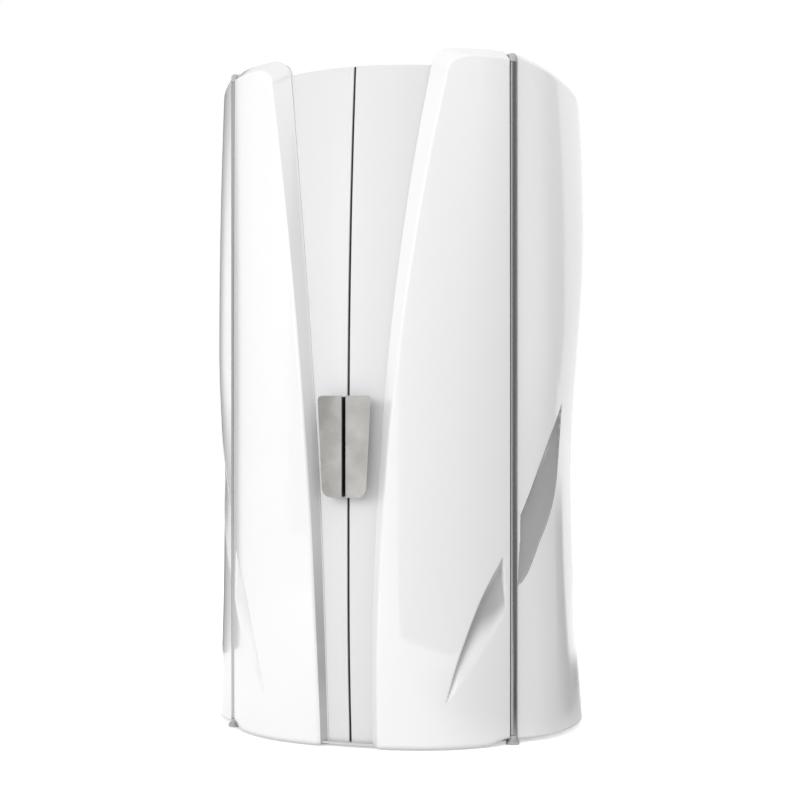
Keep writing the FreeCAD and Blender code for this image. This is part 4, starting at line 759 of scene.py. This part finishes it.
# ======================= hinge posts and handles =======================
def build_posts(material):
    r = POST_RADIUS
    profile = [(0.0, POST_LOW.z), (POST_PIN, POST_LOW.z), (POST_PIN, POST_SHOULDER),
               (r - POST_SOFT, POST_SHOULDER), (r, POST_SHOULDER + POST_SOFT)]
    low, high = POST_SHOULDER + 3 * POST_SOFT, POST_TOP - 3 * POST_SOFT
    profile += [(r, z) for z in spread(low, high, POST_ROWS)]
    profile += [(r, POST_TOP - POST_SOFT), (r - POST_SOFT, POST_TOP), (POST_PIN, POST_TOP),
                (POST_PIN, POST_HIGH.z), (0.0, POST_HIGH.z)]
    for side, sign, body in SIDES:
        obj = lathe("post_" + side, profile, (sign * HINGE_X, HINGE_Y))
        soften(obj, 0.3 * MM, 30)
        finish_piece(obj, material, "post_metal", body, "hinge_post_" + side)


def plate_span(z):
    """Inner and outer edge of the tapered plate at a height, round corners included."""
    low, high = HANDLE_LOW.z, HANDLE_HIGH.z
    inner_low, outer_low, outer_high, inner_high = PLATE_CORNERS
    inner_x, outer_x_low, outer_x_high = PLATE_X

    def cut(distance, radius):
        if distance >= radius:
            return 0.0
        return radius - math.sqrt(max(radius ** 2 - (radius - distance) ** 2, 0.0))
    outer_x = outer_x_low + (outer_x_high - outer_x_low) * (z - low) / (high - low)
    inner = inner_x + max(cut(z - low, inner_low), cut(high - z, inner_high))
    return inner, outer_x - max(cut(z - low, outer_low), cut(high - z, outer_high))


def plate_rows():
    """Rows up the plate, closer together at its round corners."""
    rows = []
    for i in range(PLATE_ROWS + 1):
        share = (1 - math.cos(math.pi * i / PLATE_ROWS)) / 2
        z = HANDLE_LOW.z + (HANDLE_HIGH.z - HANDLE_LOW.z) * share
        inner, outer = plate_span(z)
        row = []
        for k in range(PLATE_EDGE_STEPS):
            a = math.radians(90 * k / PLATE_EDGE_STEPS)
            row.append(at_x(inner + PLATE_EDGE * (1 - math.cos(a)),
                            PLATE_RADIUS - PLATE_EDGE * (1 - math.sin(a)), z))
        for x in spread(inner + PLATE_EDGE, outer, PLATE_COLUMNS):
            row.append(at_x(x, PLATE_RADIUS, z))
        rows.append(row)
    return rows


def build_handles(material, rubber_and_gap_shade):
    rows = plate_rows()
    low, high = HANDLE_LOW.z + FLANGE_SHORT, HANDLE_HIGH.z - FLANGE_SHORT
    for side, sign, body in SIDES:
        plate = thicken(grid_mesh("handle_plate_" + side, on_side(rows, sign)), PLATE_THICKNESS)
        soften(plate, 0.9 * MM, 40)
        finish_piece(plate, material, "handle_metal", body, "door_handle_" + side)
        left_x, right_x = sorted((sign * FLANGE_X[0], sign * FLANGE_X[1]))
        # The black rubber flange is a spacer and also painted shade: it keeps the gap between the
        # plates dark
        flange = box_piece("handle_flange_" + side, (left_x, -PLATE_RADIUS + FLANGE_FRONT, low),
                           (right_x, -PANEL_RADIUS + FLANGE_BACK, high))
        soften(flange, 0.8 * MM)
        finish_piece(flange, rubber_and_gap_shade, "grip_rubber", body)


# ======================= shader nodes =======================
def new_tree(owner):
    """Empty node tree of a material or world."""
    owner.use_nodes = True
    owner.node_tree.nodes.clear()
    return owner.node_tree


def add_node(tree, kind, values=None):
    """New node, with values on its named inputs."""
    node = tree.nodes.new("ShaderNode" + kind)
    for name, value in (values or {}).items():
        node.inputs[name].default_value = value
    return node


def math_node(tree, operation, first, second, use_clamp=False):
    """Result of a sum on two numbers or sockets."""
    node = add_node(tree, "Math")
    node.operation = operation
    node.use_clamp = use_clamp
    for socket, value in zip(node.inputs, (first, second)):
        if isinstance(value, float):
            socket.default_value = value
        else:
            tree.links.new(value, socket)
    return node.outputs["Value"]


def map_range(tree, value, before, after, kind="LINEAR"):
    """Carry a value from one range to another."""
    node = add_node(tree, "MapRange", {"From Min": before[0], "From Max": before[1],
                                       "To Min": after[0], "To Max": after[1]})
    node.interpolation_type = kind
    tree.links.new(value, node.inputs["Value"])
    return node.outputs["Result"]


def split_coords(tree):
    """Shares of a thing's own box along x, y and z."""
    coords = add_node(tree, "TexCoord")
    split = add_node(tree, "SeparateXYZ")
    tree.links.new(coords.outputs["Generated"], split.inputs["Vector"])
    return split.outputs


# ======================= materials =======================
def principled(name, color, roughness, metallic=0.0, coat=0.0):
    material = bpy.data.materials.new(name)
    material.use_nodes = True
    shader = material.node_tree.nodes["Principled BSDF"]
    shader.inputs["Base Color"].default_value = (*color, 1.0)
    shader.inputs["Roughness"].default_value = roughness
    shader.inputs["Metallic"].default_value = metallic
    shader.inputs["Coat Weight"].default_value = coat
    shader.inputs["Coat Roughness"].default_value = COAT_ROUGHNESS
    return material, shader


def noise(material, scale, detail=3.0, stretch=(1.0, 1.0, 1.0)):
    """Noise in object space, drawn out along an axis where stretch is small."""
    tree = material.node_tree
    coords = add_node(tree, "TexCoord")
    mapping = add_node(tree, "Mapping", {"Scale": stretch})
    texture = add_node(tree, "TexNoise", {"Scale": scale, "Detail": detail})
    tree.links.new(coords.outputs["Object"], mapping.inputs["Vector"])
    tree.links.new(mapping.outputs["Vector"], texture.inputs["Vector"])
    return texture.outputs["Fac"]


def vary(material, shader, texture, socket, low, high):
    """Drive a value socket from a texture, between two values."""
    value = map_range(material.node_tree, texture, NOISE_RANGE, (low, high))
    material.node_tree.links.new(value, shader.inputs[socket])


def tint(material, shader, texture, low, high):
    """Vary the base colour between two colours."""
    tree = material.node_tree
    ramp = add_node(tree, "ValToRGB")
    for element, position, color in zip(ramp.color_ramp.elements, NOISE_RANGE, (low, high)):
        element.position = position
        element.color = (*color, 1.0)
    tree.links.new(texture, ramp.inputs["Fac"])
    tree.links.new(ramp.outputs["Color"], shader.inputs["Base Color"])


def bump(material, shader, height, distance, strength=1.0):
    tree = material.node_tree
    node = add_node(tree, "Bump", {"Distance": distance, "Strength": strength})
    tree.links.new(height, node.inputs["Height"])
    tree.links.new(node.outputs["Normal"], shader.inputs["Normal"])


def surface(name, color, roughness, grain, depth, metallic=0.0, coat=0.0, spread_color=0.03,
            stretch=(1.0, 1.0, 1.0)):
    """A finish with slight changes of tone and gloss and a fine surface grain."""
    material, shader = principled(name, color, roughness, metallic, coat)
    low = tuple(c * (1 - spread_color) for c in color)
    tint(material, shader, noise(material, PATCH_SCALE, 1.0, stretch), low, color)
    vary(material, shader, noise(material, GLOSS_SCALE, 1.0, stretch), "Roughness",
         roughness * (1 - GLOSS_CHANGE), roughness * (1 + GLOSS_CHANGE))
    bump(material, shader, noise(material, grain, 2.0, stretch), depth, 0.6)
    return material


# slot: colour, roughness, scale and depth of the grain, and what else the finish has
FINISHES = {
    "seal_rubber": ((0.02, 0.02, 0.02), 0.6, 220.0, 0.1 * MM, {}),
    "frame_paint": ((0.4, 0.41, 0.42), 0.5, 400.0, 0.12 * MM, {}),
    "reflector_metal": ((0.86, 0.87, 0.88), 0.24, 30.0, 0.06 * MM, {"metallic": 1.0}),
    "holder_plastic": ((0.72, 0.72, 0.7), 0.45, 200.0, 0.1 * MM, {}),
    "chrome_trim": ((0.8, 0.8, 0.81), 0.1, 90.0, 0.02 * MM, {"metallic": 1.0}),
    "post_metal": ((0.43, 0.43, 0.44), 0.24, 300.0, 0.03 * MM,
                   {"metallic": 1.0, "stretch": (1.0, 1.0, 0.1)}),
    "bracket_metal": ((0.45, 0.45, 0.46), 0.4, 260.0, 0.08 * MM, {"coat": 0.1}),
    "base_paint": ((0.6, 0.61, 0.62), 0.4, 260.0, 0.1 * MM, {}),
    "feet_plastic": ((0.03, 0.03, 0.03), 0.55, 260.0, 0.1 * MM, {}),
    "platform_plastic": ((0.74, 0.74, 0.74), 0.5, 320.0, 0.3 * MM, {}),
    "ceiling_plastic": ((0.78, 0.78, 0.79), 0.35, 160.0, 0.1 * MM, {}),
    "duct_metal": ((0.6, 0.61, 0.62), 0.35, 40.0, 0.1 * MM, {"metallic": 0.9, "spread_color": 0.2}),
    "fan_plastic": ((0.05, 0.05, 0.055), 0.5, 260.0, 0.2 * MM, {}),
    "motor_paint": ((0.14, 0.145, 0.15), 0.45, 260.0, 0.1 * MM, {}),
    "grip_rubber": ((0.03, 0.03, 0.03), 0.6, 420.0, 0.3 * MM, {}),
    "display_glass": ((0.012, 0.02, 0.028), 0.08, 60.0, 0.01 * MM, {"coat": 1.0}),
    "button_green": ((0.03, 0.3, 0.06), 0.3, 200.0, 0.04 * MM, {"coat": 0.4}),
    "button_red": ((0.45, 0.02, 0.015), 0.3, 200.0, 0.04 * MM, {"coat": 0.4}),
    "button_blue": ((0.03, 0.1, 0.42), 0.3, 200.0, 0.04 * MM, {"coat": 0.4}),
}


def make_materials():
    materials = {slot: surface(slot, *values, **more) for slot, (*values, more) in FINISHES.items()}
    materials["moulded_white"] = gloss_white()
    materials["leaf_panel"] = surface("white_sheet", (0.71, 0.71, 0.715), 0.34, 140.0, 0.04 * MM,
                                      coat=0.2, spread_color=0.01)
    materials["lamp_glass"] = lamp_glass()
    materials["clear_acrylic"] = acrylic()
    materials["handle_metal"] = handle_metal()
    materials["mat_rubber"] = studded_rubber()
    return materials


def gloss_white():
    """Glossy white, under silver lacquer and painted shade where the piece's attribute says so."""
    material = surface("white_moulding", (0.84, 0.84, 0.84), 0.3, 90.0, 0.03 * MM, coat=1.0,
                       spread_color=0.006)
    tree = material.node_tree
    shader = tree.nodes["Principled BSDF"]
    shader.inputs["Coat IOR"].default_value = 1.65
    white = shader.inputs["Base Color"].links[0].from_socket
    attribute = add_node(tree, "Attribute")
    attribute.attribute_name = "lacquer_and_shade"
    mix = add_node(tree, "Mix")
    mix.data_type = "RGBA"
    mix.inputs["B"].default_value = SILVER_AND_SHADE_GREY
    fleck = map_range(tree, noise(material, 900.0, 1.0), NOISE_RANGE, (0.9, 1.0))
    tree.links.new(math_node(tree, "MULTIPLY", attribute.outputs["Fac"], fleck), mix.inputs["Factor"])
    tree.links.new(white, mix.inputs["A"])
    tree.links.new(mix.outputs["Result"], shader.inputs["Base Color"])
    return material


def acrylic():
    """Clear sheet with a reflection on its outer faces that grows towards a grazing view."""
    material = bpy.data.materials.new("clear_acrylic")
    tree = new_tree(material)
    output = add_node(tree, "OutputMaterial")
    mix = add_node(tree, "MixShader")
    clear = add_node(tree, "BsdfTransparent", {"Color": (0.93, 0.96, 0.98, 1.0)})
    gloss = add_node(tree, "BsdfGlossy", {"Color": (1.0, 1.0, 1.0, 1.0)})
    facing = add_node(tree, "Fresnel", {"IOR": 1.35})
    side = add_node(tree, "NewGeometry")
    haze = map_range(tree, noise(material, 14.0), (0.0, 1.0), (0.03, 0.08))
    front = math_node(tree, "SUBTRACT", 1.0, side.outputs["Backfacing"])
    tree.links.new(haze, gloss.inputs["Roughness"])
    tree.links.new(math_node(tree, "MULTIPLY", facing.outputs["Fac"], front), mix.inputs["Fac"])
    tree.links.new(clear.outputs["BSDF"], mix.inputs[1])
    tree.links.new(gloss.outputs["BSDF"], mix.inputs[2])
    tree.links.new(mix.outputs["Shader"], output.inputs["Surface"])
    return material


def lamp_glass():
    """White phosphor tubes that glow faintly, with bare metal caps at both ends."""
    material = surface("lamp_glass", (0.85, 0.87, 0.92), 0.2, 60.0, 0.03 * MM, coat=0.8)
    tree = material.node_tree
    shader = tree.nodes["Principled BSDF"]
    shader.inputs["Emission Color"].default_value = (0.86, 0.93, 1.0, 1.0)
    height = split_coords(tree)["Z"]
    tube = math_node(tree, "MULTIPLY", math_node(tree, "GREATER_THAN", height, LAMP_ENDS[0]),
                     math_node(tree, "LESS_THAN", height, LAMP_ENDS[1]))
    tree.links.new(math_node(tree, "SUBTRACT", 1.0, tube), shader.inputs["Metallic"])
    tree.links.new(math_node(tree, "MULTIPLY", tube, LAMP_GLOW), shader.inputs["Emission Strength"])
    return material


def handle_metal():
    """Satin steel with soft cloudy gloss."""
    material, shader = principled("handle_metal", (0.5, 0.485, 0.465), 0.3, metallic=1.0)
    tint(material, shader, noise(material, 14.0, 2.0), (0.44, 0.43, 0.41), (0.55, 0.535, 0.52))
    vary(material, shader, noise(material, 11.0, 2.0), "Roughness", 0.24, 0.36)
    bump(material, shader, noise(material, 60.0, 2.0, (1.0, 1.0, 6.0)), 0.12 * MM, 0.5)
    return material


def studded_rubber():
    """Dark rubber with rows of round studs."""
    material, shader = principled("mat_rubber", (0.045, 0.045, 0.05), 0.62)
    tree = material.node_tree
    coords = add_node(tree, "TexCoord")
    cells = add_node(tree, "TexVoronoi", {"Scale": 60.0, "Randomness": 0.0})
    tree.links.new(coords.outputs["Object"], cells.inputs["Vector"])
    bump(material, shader, map_range(tree, cells.outputs["Distance"], (0.25, 0.4), (1.0, 0.0)), 1 * MM)
    return material


def dress_nodes(materials):
    """Each CAD node gets the material of its slot."""
    slots = {p["node"]: p["material_slot"] for p in frame["record"]["subparts"]}
    for name, obj in NODES.items():
        obj.data.materials.clear()
        obj.data.materials.append(materials[slots[name]])


# ======================= studio =======================
def faded_edges(tree, soft, axes):
    """One in the middle of a sheet, falling to none at its sides and at its top."""
    shares = split_coords(tree)
    parts = []
    for axis in axes:
        near_end = 1.0 if axis == "Z" else shares[axis]
        edge = math_node(tree, "MINIMUM", math_node(tree, "SUBTRACT", 1.0, shares[axis]), near_end)
        parts.append(map_range(tree, edge, (0.0, soft), (0.0, 1.0), "SMOOTHSTEP"))
    return math_node(tree, "MULTIPLY", *parts)


def emission_card(name, points, shade, soft, axes):
    """Flat sheet that only the gloss sees; with soft, its edges fade over that share of its size."""
    obj = new_object(name, points, [(0, 1, 2, 3)])
    material = bpy.data.materials.new(name)
    tree = new_tree(material)
    output = add_node(tree, "OutputMaterial")
    shown = add_node(tree, "Emission", {"Strength": shade}).outputs["Emission"]
    if soft:
        mix = add_node(tree, "MixShader")
        tree.links.new(faded_edges(tree, soft, axes), mix.inputs["Fac"])
        tree.links.new(add_node(tree, "BsdfTransparent").outputs["BSDF"], mix.inputs[1])
        tree.links.new(shown, mix.inputs[2])
        shown = mix.outputs["Shader"]
    tree.links.new(shown, output.inputs["Surface"])
    obj.data.materials.append(material)
    obj.visible_camera = False
    obj.visible_diffuse = False
    obj.visible_shadow = False


def upright_card(name, bearing, distance, low, high, width, shade, soft):
    """Upright sheet that faces the booth."""
    centre = place(bearing, distance, (low + high) / 2)
    a = math.radians(bearing)
    along = Vector((math.cos(a), math.sin(a), 0)) * width / 2
    up = Vector((0, 0, (high - low) / 2))
    points = [centre - along - up, centre + along - up, centre + along + up, centre - along + up]
    wide = "X" if abs(along.x) > abs(along.y) else "Y"
    emission_card(name, points, shade, soft, (wide, "Z"))


def build_cards():
    """Grey sheets that only the gloss sees: soft dark bands on side shells, post and handles."""
    for card in CARDS:
        upright_card(*card)
    low, high, shade, soft = FLOOR_CARD
    points = [Vector((low[0], low[1], CARD_HEIGHT)), Vector((high[0], low[1], CARD_HEIGHT)),
              Vector((high[0], high[1], CARD_HEIGHT)), Vector((low[0], high[1], CARD_HEIGHT))]
    emission_card("card_floor_right", points, shade, soft, ("X", "Y"))


def area_light(name, bearing, distance, height, size, power, aim_height):
    """Soft lamp that lights the booth without showing in it."""
    light = bpy.data.lights.new(name, "AREA")
    light.shape = "RECTANGLE"
    light.size, light.size_y = size
    light.energy = power
    obj = bpy.data.objects.new(name, light)
    obj.location = place(bearing, distance, height)
    aim = Vector((0.0, 0.0, aim_height)) - obj.location
    obj.rotation_euler = aim.to_track_quat("-Z", "Y").to_euler()
    obj.visible_camera = False
    obj.visible_glossy = False
    bpy.context.scene.collection.objects.link(obj)


def seen_ray(tree):
    """One for rays that show a thing to the eye, directly or by gloss or glass."""
    path = add_node(tree, "LightPath")
    first = math_node(tree, "ADD", path.outputs["Is Camera Ray"], path.outputs["Is Glossy Ray"])
    return math_node(tree, "ADD", first, path.outputs["Is Transmission Ray"], use_clamp=True)


def build_world():
    """White room to the eye and in reflections; as a light on matt surfaces, weaker from behind."""
    world = bpy.data.worlds.new("studio")
    bpy.context.scene.world = world
    tree = new_tree(world)
    output = add_node(tree, "OutputWorld")
    seen = add_node(tree, "Background", {"Color": (1.0, 1.0, 1.0, 1.0), "Strength": 1.0})
    fill = add_node(tree, "Background", {"Color": (1.0, 1.0, 1.0, 1.0)})
    towards = add_node(tree, "TexCoord")
    facing = add_node(tree, "VectorMath")
    facing.operation = "DOT_PRODUCT"
    facing.inputs[1].default_value = place(FILL_BEARING, 1.0, 0.0)
    tree.links.new(towards.outputs["Generated"], facing.inputs[0])
    level = map_range(tree, facing.outputs["Value"], (-1.0, 1.0), (FILL_BEHIND, FILL_AHEAD))
    tree.links.new(level, fill.inputs["Strength"])
    mix = add_node(tree, "MixShader")
    tree.links.new(seen_ray(tree), mix.inputs["Fac"])
    tree.links.new(fill.outputs["Background"], mix.inputs[1])
    tree.links.new(seen.outputs["Background"], mix.inputs[2])
    tree.links.new(mix.outputs["Shader"], output.inputs["Surface"])


def build_floor():
    """Wide pale floor that fades to the white of the room and keeps a soft shadow."""
    corners = ((-1, -1), (1, -1), (1, 1), (-1, 1))
    points = [Vector((x * FLOOR_HALF, y * FLOOR_HALF, 0.0)) for x, y in corners]
    floor = new_object("floor", points, [(0, 1, 2, 3)])
    material = bpy.data.materials.new("floor")
    tree = new_tree(material)
    output = add_node(tree, "OutputMaterial")
    matt = add_node(tree, "BsdfDiffuse", {"Color": (FLOOR_TONE, FLOOR_TONE, FLOOR_TONE, 1.0)})
    glow = add_node(tree, "Emission")
    tree.links.new(math_node(tree, "MULTIPLY", seen_ray(tree), FLOOR_GLOW), glow.inputs["Strength"])
    add = add_node(tree, "AddShader")
    tree.links.new(matt.outputs["BSDF"], add.inputs[0])
    tree.links.new(glow.outputs["Emission"], add.inputs[1])
    tree.links.new(add.outputs["Shader"], output.inputs["Surface"])
    floor.data.materials.append(material)


def build_camera():
    camera = bpy.data.cameras.new("camera")
    camera.sensor_width = CAMERA_SENSOR
    camera.lens = CAMERA_LENS
    camera.shift_y = CAMERA_SHIFT
    obj = bpy.data.objects.new("camera", camera)
    a = math.radians(CAMERA_BEARING)
    right = Vector((math.cos(a), math.sin(a), 0.0))
    ahead = Vector((-math.sin(a), math.cos(a), 0.0))
    obj.location = Vector((0, 0, CAMERA_HEIGHT)) - ahead * CAMERA_DISTANCE - right * CAMERA_SIDE
    obj.rotation_euler = (math.radians(90), 0.0, a)
    bpy.context.scene.collection.objects.link(obj)
    bpy.context.scene.camera = obj


# ======================= the whole scene =======================
def main():
    bpy.context.scene.view_settings.view_transform = "Standard"
    materials = make_materials()
    dress_nodes(materials)
    build_wings(materials["moulded_white"])
    build_panels(materials["leaf_panel"])
    build_side_shells(materials["moulded_white"])
    build_beads(materials["chrome_trim"])
    build_posts(materials["post_metal"])
    build_handles(materials["handle_metal"], materials["grip_rubber"])
    build_world()
    build_floor()
    for light in LIGHTS:
        area_light(*light)
    build_cards()
    build_camera()


main()
